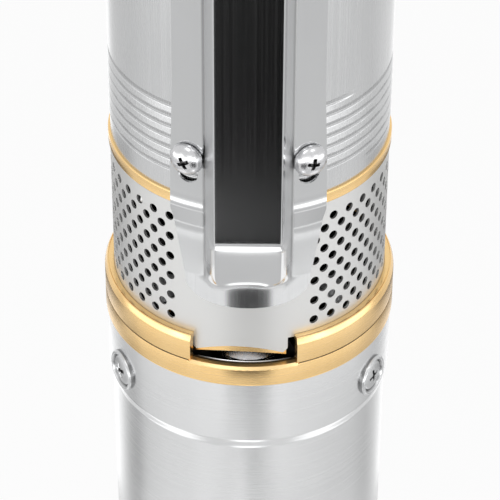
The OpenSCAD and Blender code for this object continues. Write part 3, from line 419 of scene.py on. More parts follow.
class Finish(Enum):
    """Every finish of the pump, named as the record's material slot or as a variety of one."""

    casing_steel = MetalFinish(
        "brushed_casing", (0.6, 0.605, 0.61), (0.57, 0.575, 0.58), 0.25, 0.05, Lay.ALONG, 0.022, soiled=True)
    motor_steel = MetalFinish(
        "turned_casing", (0.74, 0.745, 0.75), (0.71, 0.715, 0.72), 0.23, 0.05, Lay.AROUND, 0.018)
    guard_steel = MetalFinish(
        "pressed_sheet", (0.59, 0.595, 0.6), (0.56, 0.565, 0.57), 0.13, 0.03, Lay.ALONG, 0.02, soiled=True,
        dull=(12.6, 1.5, 390.0))
    # Painted shade: the strainer is painted near-black inside 46.2 mm so that its holes show a dark, shaded
    # inside.
    strainer_steel = MetalFinish(
        "blasted_sheet", (0.9, 0.905, 0.91), (0.87, 0.875, 0.88), 0.58, 0.05, Lay.BLASTED, 0.12, inside=46.2)
    screw_steel = MetalFinish(
        "turned_steel", (0.62, 0.62, 0.63), (0.55, 0.55, 0.56), 0.25, 0.05, Lay.BLASTED, 0.05, soiled=True)
    washer_steel = MetalFinish(
        "stamped_steel", (0.58, 0.585, 0.59), (0.54, 0.545, 0.55), 0.34, 0.05, Lay.BLASTED, 0.05, soiled=True)
    dish_steel = MetalFinish(
        "pressed_dish", (0.7, 0.7, 0.7), (0.6, 0.6, 0.6), 0.24, 0.05, Lay.AROUND, 0.06, soiled=True)
    inner_steel = MetalFinish(
        "ground_steel", (0.58, 0.58, 0.58), (0.48, 0.48, 0.48), 0.26, 0.07, Lay.AROUND, 0.12)
    bearing_steel = MetalFinish(
        "bearing_steel", (0.7, 0.7, 0.71), (0.64, 0.64, 0.65), 0.12, 0.04, Lay.AROUND, 0.05)
    brass = MetalFinish(
        "turned_brass", (0.9, 0.635, 0.31), (0.86, 0.575, 0.25), 0.24, 0.05, Lay.AROUND, 0.05, soiled=True)
    # Painted shade: the bracket's plate, foot and legs inside 45.45 mm are painted near-black as deep shade
    # under the rim.
    bracket_brass = MetalFinish(
        "bracket_brass", (0.9, 0.635, 0.31), (0.86, 0.575, 0.25), 0.24, 0.05, Lay.AROUND, 0.06, inside=45.45)
    seal_face = MouldedFinish("carbon_face", (0.06, 0.06, 0.065), (0.03, 0.03, 0.03), 0.3, 2400.0)
    rubber = MouldedFinish("nitrile_rubber", (0.03, 0.03, 0.032), (0.015, 0.015, 0.015), 0.62, 1500.0)
    stage_plastic = MouldedFinish("filled_plastic", (0.05, 0.053, 0.06), (0.03, 0.032, 0.036), 0.45, 1200.0)
    impeller_plastic = MouldedFinish("ivory_plastic", (0.72, 0.69, 0.6), (0.64, 0.61, 0.52), 0.38, 900.0)
    lamination = StackFinish("laminations", (0.42, 0.43, 0.45), (0.16, 0.16, 0.17), 1.0, (0.0, 0.0, 620.0))
    winding_copper = StackFinish(
        "enamelled_wire", (0.62, 0.24, 0.08), (0.2, 0.06, 0.02), 0.0, (260.0, 260.0, 420.0))

    @property
    def slot(self) -> str:
        """Gives the record's slot of the finish."""
        varieties = {"motor_steel": "casing_steel", "bracket_brass": "brass", "washer_steel": "screw_steel",
                     "dish_steel": "inner_steel"}
        return varieties.get(self.name, self.name)

    def dress(self, piece: bpy.types.Object) -> None:
        """Gives a piece this finish alone, making the material at its first use.

        Args:
            piece: Mesh object to dress.
        """
        material = bpy.data.materials.get(self.value.name) or self.value.material()
        piece.data.materials.clear()
        piece.data.materials.append(material)


def spot(angle: float, z: float, local: Array) -> Array:
    """Puts a local shape on the outside of the pump.

    The point (x, y, h) goes to h along the outward direction at the angle, x around and y up.

    Args:
        angle: Angle from the front in degrees.
        z: Level of the shape's middle.
        local: Points of the shape, in a last axis of three.

    Returns:
        The points in the pump's frame.
    """
    a = math.radians(angle)
    axes = np.array([[math.cos(a), math.sin(a), 0.0], [0.0, 0.0, 1.0], [math.sin(a), -math.cos(a), 0.0]])
    return local @ axes + np.array([0.0, 0.0, z])


def around(r: Array, angle: Array, z: Array) -> Array:
    """Gives points at radius r, an angle in degrees and level z as (r sin a, -r cos a, z)."""
    a = np.radians(angle)
    return np.stack(np.broadcast_arrays(r * np.sin(a), -r * np.cos(a), z), axis=-1)


def turn(profile: Array, angles: Array) -> Array:
    """Carries a profile of radius and height round the axis, with a row for each angle in degrees."""
    return around(profile[None, :, 0], angles[:, None], profile[None, :, 1])


def full(steps: int) -> Array:
    """Gives the angles of a whole turn without its end."""
    return np.arange(steps) * 360.0 / steps


def places(*runs: Triple) -> Array:
    """Gives the places of runs of a first place, a last place and a count, in order without doubles."""
    return np.unique(np.round(np.concatenate([np.linspace(a, b, int(n)) for a, b, n in runs]), 3))


def fillet(corners: list[Triple]) -> Array:
    """Rounds the corners of a closed profile.

    Each corner becomes a quadratic curve between two points at its own distance along its sides.

    Args:
        corners: Radius, height and rounding of each corner in order.

    Returns:
        The points of the rounded profile.
    """
    ring = np.array(corners, float)
    here, size = ring[:, :2], ring[:, 2:]
    back, ahead = np.roll(here, 1, 0) - here, np.roll(here, -1, 0) - here
    start = here + back / np.linalg.norm(back, axis=1, keepdims=True) * size
    stop = here + ahead / np.linalg.norm(ahead, axis=1, keepdims=True) * size
    t = np.linspace(0.0, 1.0, ROUND_STEPS)[None, :, None]
    curve = (1 - t) ** 2 * start[:, None] + 2 * t * (1 - t) * here[:, None] + t ** 2 * stop[:, None]
    return curve.reshape(-1, 2)


def soft_low(a: Array, b: Array, k: float) -> Array:
    """Gives the lower of two heights with their crossing rounded over about k."""
    return 0.5 * (a + b - np.sqrt((a - b) ** 2 + k * k))


def soft_high(a: Array, b: Array, k: float) -> Array:
    """Gives the higher of two heights with their crossing rounded over about k."""
    return 0.5 * (a + b + np.sqrt((a - b) ** 2 + k * k))


def rise(value: Array, low: float, high: float) -> Array:
    """Rises smoothly from 0 at low to 1 at high, as 3t squared less 2t cubed."""
    t = np.clip((value - low) / (high - low), 0.0, 1.0)
    return t * t * (3.0 - 2.0 * t)


class Skin:
    """Gathers grid surfaces and makes one mesh object of them."""

    def __init__(self) -> None:
        """Starts with no surface."""
        self.points: list[Array] = []
        self.soil: list[Array] = []
        self.faces: list[list[int]] = []
        self.count = 0

    def grid(self, surface: Array, wrap_rows: bool = False, wrap_columns: bool = False,
             soil: Array | None = None) -> None:
        """Adds a grid of points as quads, which face outward where rows x columns do.

        Args:
            surface: Points by row and column.
            wrap_rows: Whether the last row joins the first.
            wrap_columns: Whether the last column joins the first.
            soil: Share of painted shade at each point, or nothing for a surface without it.
        """
        rows, columns = surface.shape[:2]
        self.soil.append(np.zeros(rows * columns) if soil is None else soil.reshape(-1))
        index = np.arange(rows * columns).reshape(rows, columns) + self.count
        if wrap_rows:
            index = np.vstack([index, index[:1]])
        if wrap_columns:
            index = np.hstack([index, index[:, :1]])
        low, high = index[:-1], index[1:]
        quads = np.stack([low[:, :-1], low[:, 1:], high[:, 1:], high[:, :-1]], axis=-1)
        self.points.append(surface.reshape(-1, 3))
        self.faces.extend(quads.reshape(-1, 4).tolist())
        self.count += rows * columns

    def cap(self, ring: Array) -> None:
        """Adds one flat face over a ring of points.

        Args:
            ring: Points of the ring in order.
        """
        self.points.append(ring)
        self.soil.append(np.zeros(len(ring)))
        self.faces.append(list(range(self.count, self.count + len(ring))))
        self.count += len(ring)

    def tube(self, rings: Array) -> None:
        """Adds rings joined one to the next, with both ends closed.

        Args:
            rings: Points by ring and by place on it.
        """
        self.grid(rings, wrap_columns=True)
        self.cap(rings[0])
        self.cap(rings[-1])

    def sweep(self, profile: Array, start: float, stop: float, steps: int) -> None:
        """Adds a closed profile carried from one angle to another in a number of steps, with closed ends."""
        self.tube(turn(profile, np.linspace(start, stop, steps)))

    def ring(self, profile: Array) -> None:
        """Adds a closed profile carried round a whole turn."""
        self.grid(turn(profile, full(RING_STEPS)), True, True)

    def build(self, name: str, closed: bool = True, crease: float = 32.0) -> bpy.types.Object:
        """Makes the object: doubles merged, shells turned outward, creases sharp.

        Args:
            name: Name of the object.
            closed: Whether the surfaces are closed shells.
            crease: Angle in degrees from which an edge stays sharp.

        Returns:
            The new object, linked to the scene.
        """
        mesh = bpy.data.meshes.new(name)
        mesh.from_pydata(np.concatenate(self.points) / 1000.0, [], self.faces)
        # Painted shade: each point's share of painted darkness is stored as a mesh attribute that the metal
        # finishes read.
        soil = mesh.attributes.new("soil", "FLOAT", "POINT")
        soil.data.foreach_set("value", np.concatenate(self.soil))
        work = bmesh.new()
        work.from_mesh(mesh)
        bmesh.ops.remove_doubles(work, verts=work.verts, dist=2e-7)
        if closed:
            bmesh.ops.recalc_face_normals(work, faces=work.faces)
        work.to_mesh(mesh)
        work.free()
        mesh.shade_smooth()
        mesh.set_sharp_from_angle(angle=math.radians(crease))
        piece = bpy.data.objects.new(name, mesh)
        bpy.context.scene.collection.objects.link(piece)
        return piece


def enter(piece: bpy.types.Object, finish: Finish, body: Body, *nodes: str) -> None:
    """Dresses a new piece in its finish, parents it to its body, and hides the CAD nodes that it stands for.

    Args:
        piece: The new object.
        finish: Its finish, which names the slot.
        body: The body that it rides on.
        nodes: CAD nodes that it replaces.
    """
    finish.dress(piece)
    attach(piece, body.value)
    if nodes:
        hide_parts(*nodes)
    log.info("%s: %d faces on %s", piece.name, len(piece.data.polygons), body.value)


def settle(piece: bpy.types.Object) -> None:
    """Applies an object's modifiers to its mesh.

    Args:
        piece: Object with modifiers.
    """
    graph = bpy.context.evaluated_depsgraph_get()
    mesh = bpy.data.meshes.new_from_object(piece.evaluated_get(graph))
    piece.modifiers.clear()
    piece.data = mesh


@dataclass
class RolledCasing:
    """The pump's tube, with a thread rolled into each end.

    Attributes:
        radius: Outside radius.
        wall: Thickness of the tube.
        low: Level of the lower end.
        high: Level of the upper end.
        first: Level of the lowest groove at the front.
        turns: Turns of each thread.
        lead: Rise of the thread in one turn.
        depth: Depth of the groove.
        proud: Height of the ridge's lower edge.
        lean: Drop of the ridge from its lower to its upper edge.
        groove: Share of the lead that the groove takes.
        bend: Share of the lead over which a groove's side falls.
        ends: Angle at which each thread starts and runs out.
        fade: Angle over which it fades there.
        dirt: Share of painted shade on a groove's floor.
        margin: Height of the fine mesh beyond a thread.
        step: Height of a row of the fine mesh.
    """

    radius: float = 46.3
    wall: float = 1.5
    low: float = 416.2
    high: float = 694.2
    first: float = 425.1
    turns: int = 6
    lead: float = 4.07
    depth: float = 0.32
    proud: float = 0.26
    lean: float = 0.27
    groove: float = 0.4
    bend: float = 0.07
    ends: float = 50.0
    fade: float = 22.0
    dirt: float = 0.26
    margin: float = 1.5
    step: float = 0.175

    def swell(self, angle: Array, z: Array) -> Array:
        """Gives the thread's height over the plain tube.

        The place u in the lead counts up from a groove's middle along z = first + lead (a / 360 + n).
        The ridge falls in a straight line from its lower edge to its upper edge, the groove is level, and
        smooth steps join the two. Each groove and ridge counts its own angle a + 360 n along the helix, and
        fades at the two ends of the thread. The upper thread mirrors the count of the lower one.

        Args:
            angle: Angles in degrees.
            z: Levels.

        Returns:
            Heights, negative in the groove.
        """
        far = z > (self.low + self.high) / 2
        base = np.where(far, self.low + self.high - self.first - self.turns * self.lead, self.first)
        a = (angle + 180.0) % 360.0 - 180.0
        part = (z - base) / self.lead - a / 360.0
        u = part - np.floor(part)
        low_edge, high_edge = self.groove / 2, 1 - self.groove / 2
        ridge = self.proud - self.lean * (u - low_edge) / (high_edge - low_edge)
        inside = rise(u, low_edge - self.bend / 2, low_edge + self.bend / 2) * (
            1 - rise(u, high_edge - self.bend / 2, high_edge + self.bend / 2))
        start, stop = self.ends - 360.0, self.ends + 360.0 * self.turns
        along_ridge, along_groove = a + 360.0 * np.floor(part), a + 360.0 * np.round(part)
        ridge_stop = stop - 360.0
        ridge = ridge * rise(along_ridge, start, start + self.fade) * (
            1 - rise(along_ridge, ridge_stop - self.fade, ridge_stop))
        groove = self.depth * rise(along_groove, start, start + self.fade) * (
            1 - rise(along_groove, stop - self.fade, stop))
        return ridge * inside - groove * (1 - inside)

    def build(self) -> None:
        """Makes the tube: outer wall up, inner wall down, both following the thread."""
        start, ends = self.first - self.lead - self.margin, self.low + self.high
        fine = np.arange(start, start + (self.turns + 2) * self.lead + 2.0, self.step)
        plain = np.linspace(fine[-1] + 1, ends - fine[-1] - 1, 24)
        edge = np.array([0.0, 0.5, 2.0])
        z = np.concatenate([self.low + edge, fine, plain, (ends - fine)[::-1], self.high - edge[::-1]])
        angle = full(192)[:, None]
        outer = self.radius + self.swell(angle, z[None])
        back = z[::-6]
        inner = self.radius - self.wall + np.minimum(self.swell(angle, back[None]), 0.0)
        r, level = np.hstack([outer, inner]), np.hstack([z, back])[None]
        # Painted shade: the outer wall is darkened towards the groove floors, as if shaded, and not on the
        # plain tube.
        soil = self.dirt * rise(self.radius - r, 0.0, self.depth) * (np.arange(r.shape[1]) < len(z))
        skin = Skin()
        skin.grid(around(r, angle, level), True, True, soil)
        enter(skin.build("rolled_casing", crease=60.0), Finish.casing_steel, Body.PUMP, "pump_casing")


@dataclass
class MotorShell:
    """The motor's tube, widened into a bell at its top.

    Attributes:
        radius: Outside radius of the plain tube.
        bell: Outside radius of the bell.
        wall: Thickness of the tube.
        low: Level of the lower end.
        shoulder: Level of the middle of the widening.
        blend: Half of the height in which the widening lies.
        steep: Share of that height over which the radius rises.
        high: Level of the upper end.
        round_over: How far the tube's ends draw in.
    """

    radius: float = 48.0
    bell: float = 49.15
    wall: float = 1.5
    low: float = 22.0
    shoulder: float = 316.3
    blend: float = 3.2
    steep: float = 0.75
    high: float = 343.2
    round_over: float = 0.3

    def build(self) -> None:
        """Makes the tube: the radius rises by a smooth step from tube to bell."""
        bend = np.linspace(self.shoulder - self.blend, self.shoulder + self.blend, 24)
        plain = np.linspace(self.low + 2, bend[0] - 1, 12)
        z = np.concatenate([[self.low, self.low + 0.4], plain, bend,
                            [self.high - 3.0, self.high - 0.4, self.high]])
        half = self.blend * self.steep
        step = rise(z, self.shoulder - half, self.shoulder + half)
        r = self.radius + (self.bell - self.radius) * step
        inner = np.stack([r - self.wall, z], axis=-1)[::-1]
        r[[0, -1]] -= self.round_over
        outer = np.stack([r, z], axis=-1)
        skin = Skin()
        skin.ring(np.concatenate([outer, inner]))
        enter(skin.build("motor_shell"), Finish.motor_steel, Body.PUMP, "motor_casing")


@dataclass
class PressedGuard:
    """The cable guard: a sheet pressed into a flat-topped channel with flanges and a tongue.

    Attributes:
        crown: Distance of the flat crown from the axis.
        half_crown: Half of the crown's width.
        half_foot: Half of the width between the feet of the walls.
        sheet: Thickness of the sheet.
        bed_low: Outer radius of the flanges on the strainer.
        bed_high: Outer radius of the flanges on the casing.
        joggle: Levels and outer radii of the bead where the flanges step out.
        joggle_run: Half of the height over which the bead is averaged.
        half_angle: Half of the angle that the flanges span.
        set_in: How far the tongue's sides and the flanges' lower ends stay inside that angle.
        widening: Height over which the flanges reach it.
        narrowing: How much narrower each flange is above the lower screws.
        narrow_run: Heights over the bead between which it narrows.
        turned: Turn of the guard about the axis in degrees.
        foot: Level of the tongue's end.
        top: Level of the upper end.
        crown_foot: Level where the crown meets the ramp.
        ramp_foot: Level where the ramp meets the tongue.
        tongue: Level where the tongue starts to round in.
        half_tongue: Half of the tongue's width there.
        power: Power of the tongue's superellipse.
        crown_bend: Rounding between crown and walls.
        foot_bend: Rounding between walls and flanges.
        ramp_bend: Rounding between crown and ramp.
        facet: Start over the crown's foot and slope of the facet between crown and ramp.
        ramp_side: Widths of the chamfers between the ramp and its left and right wall.
        side_slope: Fall of those chamfers over their width.
        side_bend: Rounding between a chamfer and its wall.
        side_run: How far below and above the crown's foot the chamfers set in.
        ramp_sag: How far the ramp's foot falls away at half of the crown's width.
        ramp_shift: How much wider the ramp is than the crown on each side.
        tongue_bend: Rounding between the ramp and the tongue.
        least_wall: Height that a wall keeps where the ramp runs out.
        wall_run: Heights of a wall between which the rounding at its foot grows.
        least_growth: Share of that rounding that a lower wall has.
        fold: Share, place beyond a wall's foot and width of the painted shade in the folds.
        fold_run: Levels between which that painted shade sets in.
        screw_angle: Angle of the slots either side of the front.
        screw_levels: Levels of the screws in the slots.
        slot: Half width of a slot.
        drop: How far a slot runs down from its screw.
        cut: Distances from the axis between which the slots are cut.
        columns: Runs of the mesh's columns across half of the sheet; those of the last reach to its edge.
        rows: Runs of the mesh's rows over the tongue, the ramp and the bead.
        crease: Angle in degrees from which an edge of the sheet stays sharp.
    """

    crown: float = 54.5
    half_crown: float = 10.75
    half_foot: float = 13.95
    sheet: float = 0.8
    bed_low: float = 47.4
    bed_high: float = 48.0
    joggle: tuple[tuple[float, float], ...] = (
        (400.4, 47.4), (403.9, 47.5), (405.9, 47.36), (413.0, 48.62), (416.2, 48.0))
    joggle_run: float = 1.2
    half_angle: float = 31.4
    set_in: tuple[float, float] = (0.8, 1.1)
    widening: float = 5.5
    narrowing: float = 1.2
    narrow_run: tuple[float, float] = (10.0, 60.0)
    turned: float = -0.5
    foot: float = 374.5
    top: float = 688.2
    crown_foot: float = 404.5
    ramp_foot: float = 382.4
    tongue: float = 385.5
    half_tongue: float = 20.5
    power: float = 2.6
    crown_bend: float = 0.35
    foot_bend: float = 1.0
    ramp_bend: float = 0.25
    facet: tuple[float, float] = (0.9, 0.268)
    ramp_side: tuple[float, float] = (1.1, 1.7)
    side_slope: float = 0.8
    side_bend: float = 0.25
    side_run: tuple[float, float] = (2.5, 0.5)
    ramp_sag: float = 0.2
    ramp_shift: float = 0.1
    tongue_bend: float = 0.42
    least_wall: float = 0.8
    wall_run: tuple[float, float] = (1.0, 5.0)
    least_growth: float = 0.1
    fold: Triple = (0.42, 0.1, 0.4)
    fold_run: tuple[float, float] = (384.0, 388.5)
    screw_angle: float = 23.6
    screw_levels: tuple[float, float] = (432.2, 678.2)
    slot: float = 3.6
    drop: float = 5.8
    cut: tuple[float, float] = (43.0, 53.0)
    columns: tuple[Triple, ...] = (
        (0.0, 9.2, 9), (9.2, 11.6, 36), (11.6, 13.0, 12), (13.0, 15.4, 34), (15.4, 25.0, 16))
    rows: tuple[Triple, ...] = ((380.0, 388.0, 25), (388.0, 402.0, 15), (402.0, 422.0, 61))
    crease: float = 50.0

    def half_width(self, z: Array) -> Array:
        """Gives half of the sheet's width at each level.

        The tongue is a superellipse, straight sides lead up to the joggle, and the flanges go on from
        there at their full angle.

        Args:
            z: Levels.

        Returns:
            Half widths.
        """
        part = np.clip((self.tongue - z) / (self.tongue - self.foot), 0.0, 1.0)
        tongue = self.half_tongue * (1 - part ** self.power) ** (1 / self.power)
        start, reach = self.joggle[2][0], math.sin(math.radians(self.half_angle))
        wide = self.bed_low * reach - self.set_in[0]
        side = self.half_tongue + (wide - self.half_tongue) * (z - self.tongue) / (start - self.tongue)
        flange = self.bed_high * reach - self.set_in[1] * (1 - rise(z, start, start + self.widening))
        flange = flange - self.narrowing * rise(z - start, *self.narrow_run)
        return np.where(z < self.tongue, tongue, np.where(z < start, side, flange))

    def bed(self, z: Array) -> Array:
        """Gives the flanges' outer radius at each level: the bead's straight runs, averaged over a height."""
        levels, radii = zip(*self.joggle)
        shifts = np.linspace(-self.joggle_run, self.joggle_run, 17)
        return sum(np.interp(z + shift, levels, radii) for shift in shifts) / len(shifts)

    def front(self, x: Array, z: Array) -> Array:
        """Gives how far the sheet's face stands in front of the axis.

        It is the higher of the round bed and the channel. The channel's top is the lowest of the flat
        crown, a facet and the sagging ramp. Beyond half of the crown's width it falls over a chamfer, which
        only the ramp has, to the bed at the walls' feet, all with rounded crossings.

        Args:
            x: Places across the sheet.
            z: Levels.

        Returns:
            Distances along -Y.
        """
        round_bed = np.sqrt(self.bed(z) ** 2 - x * x)
        slope = (self.crown - self.bed_low + self.sheet) / (self.crown_foot - self.ramp_foot)
        down = np.clip((self.crown_foot - z) / (self.crown_foot - self.ramp_foot), 0.0, 1.3)
        sag = self.ramp_sag * down * np.minimum(np.abs(x) / self.half_crown, 1.1) ** 2
        ramp = self.crown - (self.crown_foot - z) * slope - sag
        facet = self.crown - (self.crown_foot + self.facet[0] - z) * self.facet[1]
        top = soft_low(np.full_like(x + z, self.crown), facet, self.ramp_bend)
        top = soft_low(top, ramp, self.ramp_bend)
        foot = np.sqrt(self.bed(z) ** 2 - self.half_foot ** 2)
        tall = soft_high(top - foot, np.full_like(top, self.least_wall), self.least_wall)
        below = 1 - rise(z, self.crown_foot - self.side_run[0], self.crown_foot + self.side_run[1])
        wide = np.where(x < 0, *self.ramp_side) * below
        half = self.half_crown + self.ramp_shift * below
        edge = self.side_slope * (np.abs(x) - half)
        drop = self.side_slope * np.minimum(wide, tall)
        steep = np.maximum(tall - drop, self.side_bend) / (self.half_foot - half - wide)
        wall = drop + steep * (np.abs(x) - half - wide)
        fall = soft_high(edge, wall, self.side_bend) * below + wall * (1 - below)
        channel = top - soft_high(np.zeros_like(fall), fall, self.crown_bend)
        growth = self.least_growth + (1 - self.least_growth) * rise(tall, *self.wall_run)
        out = rise(np.abs(x), self.half_crown, self.half_foot) * growth
        return soft_high(round_bed, channel, self.tongue_bend + (self.foot_bend - self.tongue_bend) * out)

    def fold_dirt(self, x: Array, z: Array) -> Array:
        """Gives the painted shade in the folds at the walls' feet: a bell across each, fading below the ramp.
        """
        share, shift, width = self.fold
        bell = np.exp(-(((np.abs(x) - self.half_foot - shift) / width) ** 2))
        return share * bell * rise(z, *self.fold_run)

    def slots(self) -> bpy.types.Object:
        """Makes the cutter for the four slots: an oblong carried from inside to outside the flange."""
        t = np.radians(full(48))
        across, up = self.slot * np.cos(t), self.slot * np.sin(t) - self.drop * (np.sin(t) < 0)
        local = np.stack(np.broadcast_arrays(across, up, np.array(self.cut)[:, None]), axis=-1)
        skin = Skin()
        for z in self.screw_levels:
            for side, _ in SIDES:
                skin.tube(spot(self.turned + side * self.screw_angle, z, local))
        return skin.build("slot_cutter")

    def build(self) -> None:
        """Makes the sheet as a grid over width and height, gives it its thickness and cuts the slots."""
        lean = np.sin(np.radians(np.linspace(0, 90, 26))) ** (2 / self.power)
        z = np.unique(np.round(np.concatenate([
            self.tongue - (self.tongue - self.foot) * lean,
            places(*self.rows, (self.rows[-1][1], self.top, 60))]), 3))
        half = places(*self.columns)
        across = np.concatenate([-half[:0:-1], half])
        width = self.half_width(z)[:, None]
        start, stop, _ = self.columns[-1]
        spare = (np.abs(across) - start) / (stop - start) * np.maximum(width - start, 0.0)
        x = np.where((np.abs(across) > start) & (width > start), np.sign(across) * (start + spare),
                     np.clip(across, -width, width))
        level = z[:, None] + 0 * x
        skin = Skin()
        skin.grid(spot(self.turned, 0.0, np.stack([x, level, self.front(x, level)], axis=-1)),
                  soil=self.fold_dirt(x, level))
        guard = skin.build("pressed_guard", closed=False, crease=self.crease)
        thick = guard.modifiers.new("sheet", "SOLIDIFY")
        thick.thickness = self.sheet / 1000.0
        thick.offset = -1.0
        thick.use_even_offset = True
        cutter = self.slots()
        cut = guard.modifiers.new("slots", "BOOLEAN")
        cut.object = cutter
        cut.operation = "DIFFERENCE"
        settle(guard)
        bpy.data.objects.remove(cutter)
        guard.data.set_sharp_from_angle(angle=math.radians(self.crease))
        enter(guard, Finish.guard_steel, Body.PUMP, "cable_guard")


@dataclass
class CrossScrew:
    """A screw with a cross recess, pointing at the axis.

    Attributes:
        seat: Distance of the underside of the head from the axis.
        height: Height of the head.
        head: Radius of the head.
        dome: Power of the head's dome, 2 for a round one and more for a flatter one.
        shank: Radius of the shank.
        tip: Distance of the shank's end from the axis.
        arm: Length of a recess arm from the middle.
        width: Half width of a recess arm.
        depth: Depth of the recess.
        lip: Share of the height that stands upright at the head's edge.
        soft: Half width of an arm's soft side.
        arm_end: Length of an arm's soft end.
        floor: Share of the depth at the arms' ends.
        dirt: Depth below which the recess is painted fully dark as shade.
    """

    seat: float
    height: float
    head: float
    dome: float
    shank: float
    tip: float
    arm: float = 2.2
    width: float = 0.55
    depth: float = 1.9
    lip: float = 0.16
    soft: float = 0.12
    arm_end: float = 0.35
    floor: float = 0.45
    dirt: float = 0.6

    def surface(self, spin: float) -> tuple[Array, Array]:
        """Gives the screw as a grid of rings round its own axis.

        The top is the lip plus (1 - (r / head) ^ dome) ^ (1 / dome) times the rest of the height. The recess
        is two crossed bars with soft edges, and it is deepest in the middle.

        Args:
            spin: Turn of the recess in degrees.

        Returns:
            Points across, up and outward, and the painted shade that lies in the recess.
        """
        t = np.sin(np.linspace(0, math.pi / 2, 64)) ** 0.9
        lip, end = self.lip * self.height, self.tip - self.seat
        top = lip + (self.height - lip) * (1 - t ** self.dome) ** (1 / self.dome)
        rest = np.array([(self.head, 0.2), (self.head - 0.3, 0.0), (self.shank, 0.0), (self.shank, end + 0.6),
                         (self.shank * 0.7, end), (0.0, end)])
        r, h = np.concatenate([t * self.head, rest[:, 0]]), np.concatenate([top, rest[:, 1]])
        a = np.radians(full(144))
        x, y = r[:, None] * np.cos(a), r[:, None] * np.sin(a)
        s = math.radians(spin)
        u, v = np.abs(x * math.cos(s) + y * math.sin(s)), np.abs(y * math.cos(s) - x * math.sin(s))
        far, near = np.maximum(u, v), np.minimum(u, v)
        bar = (1 - rise(near, self.width - self.soft, self.width + self.soft)) * (
            1 - rise(far, self.arm - self.arm_end, self.arm))
        slope = self.floor + (1 - self.floor) * np.clip(1 - far / self.arm, 0, 1)
        sink = (np.arange(len(r)) < len(t))[:, None] * self.depth * bar * slope
        # Painted shade: the recess is darkened in step with its depth.
        return np.stack([x, y, self.seat + h[:, None] - sink], axis=-1), np.clip(sink / self.dirt, 0.0, 0.9)

    def place(self, skin: Skin, angle: float, z: float, spin: float) -> None:
        """Adds the screw to a skin at an angle and a level, with its recess turned by a spin in degrees."""
        surface, soil = self.surface(spin)
        skin.grid(spot(angle, z, surface), wrap_columns=True, soil=soil)


@dataclass
class Screws:
    """The screws that show outside: four on the guard and three in cup washers on the motor.

    Attributes:
        guard_angle: Angle of the guard's screws either side of its middle.
        guard_turn: Turn of the guard about the axis in degrees.
        guard_levels: Levels of the guard's lower and upper screws.
        guard_tips: Distances of the lower and upper screws' ends from the axis.
        guard_spins: Turns of the lower and upper screws' recesses, left and right.
        motor_angles: Angles of the motor's screws.
        motor_spins: Turns of their recesses.
        motor_level: Level of the motor's screws.
        bell: Outside radius of the motor's bell.
    """

    guard_angle: float = PressedGuard.screw_angle
    guard_turn: float = PressedGuard.turned
    guard_levels: tuple[float, float] = PressedGuard.screw_levels
    guard_tips: tuple[float, float] = (39.0, 40.5)
    guard_spins: tuple[tuple[float, float], ...] = ((28.0, -12.0), (10.0, 40.0))
    motor_angles: tuple[float, ...] = (-61.85, 59.15, 178.65)
    motor_spins: tuple[float, ...] = (20.0, 8.0, 31.0)
    motor_level: float = 327.8
    bell: float = MotorShell.bell

    def guard_screws(self) -> None:
        """Makes the pan-head screws of the guard, a pair at each end."""
        rows = zip(("lower", "upper"), self.guard_levels, self.guard_tips, self.guard_spins)
        for name, z, tip, spins in rows:
            skin = Skin()
            screw = CrossScrew(seat=48.25, height=3.6, head=5.55, dome=2.0, shank=2.0, tip=tip)
            for (side, _), spin in zip(SIDES, spins):
                screw.place(skin, self.guard_turn + side * self.guard_angle, z, spin)
            piece = skin.build(f"pan_screws_{name}", crease=48.0)
            enter(piece, Finish.screw_steel, Body.PUMP, f"guard_screws_{name}")

    def motor_screws(self) -> None:
        """Makes the raised countersunk screws of the motor and the cup washers under them."""
        screws, washers = Skin(), Skin()
        screw = CrossScrew(seat=self.bell + 0.1, height=1.2, head=5.4, dome=2.0, shank=3.0, tip=41.2, arm=2.9,
                           width=0.65, depth=1.4)
        h = self.bell
        cup = fillet([(3.1, h - 1.2, 0.1), (7.3, h - 1.2, 0.1), (7.3, h + 0.7, 0.3), (6.8, h + 1.35, 0.3),
                      (6.2, h + 1.35, 0.3), (5.55, h + 0.1, 0.1), (3.1, h + 0.1, 0.1)])
        a = np.radians(full(96))[:, None]
        r, out = cup[:, 0], cup[:, 1]
        local = np.stack(np.broadcast_arrays(r * np.cos(a), r * np.sin(a), out), axis=-1)
        # Painted shade: the washer's step round the screw and its foot on the bell are darkened as shaded
        # gaps.
        dirt = np.where((r < 6.0) & (out < h + 0.9), 0.8, 0.0)
        dirt += np.where((r > 7.2) & (out < h + 0.5), 0.6, 0.0)
        dirt = np.broadcast_to(dirt, local.shape[:2])
        for angle, spin in zip(self.motor_angles, self.motor_spins):
            screw.place(screws, angle, self.motor_level, spin)
            washers.grid(spot(angle, self.motor_level, local), True, True, dirt)
        enter(screws.build("countersunk_screws", crease=48.0), Finish.washer_steel, Body.PUMP, "motor_screws")
        enter(washers.build("cup_washer_set"), Finish.washer_steel, Body.PUMP, "cup_washers")

    def build(self) -> None:
        """Makes all screws and washers."""
        self.guard_screws()
        self.motor_screws()


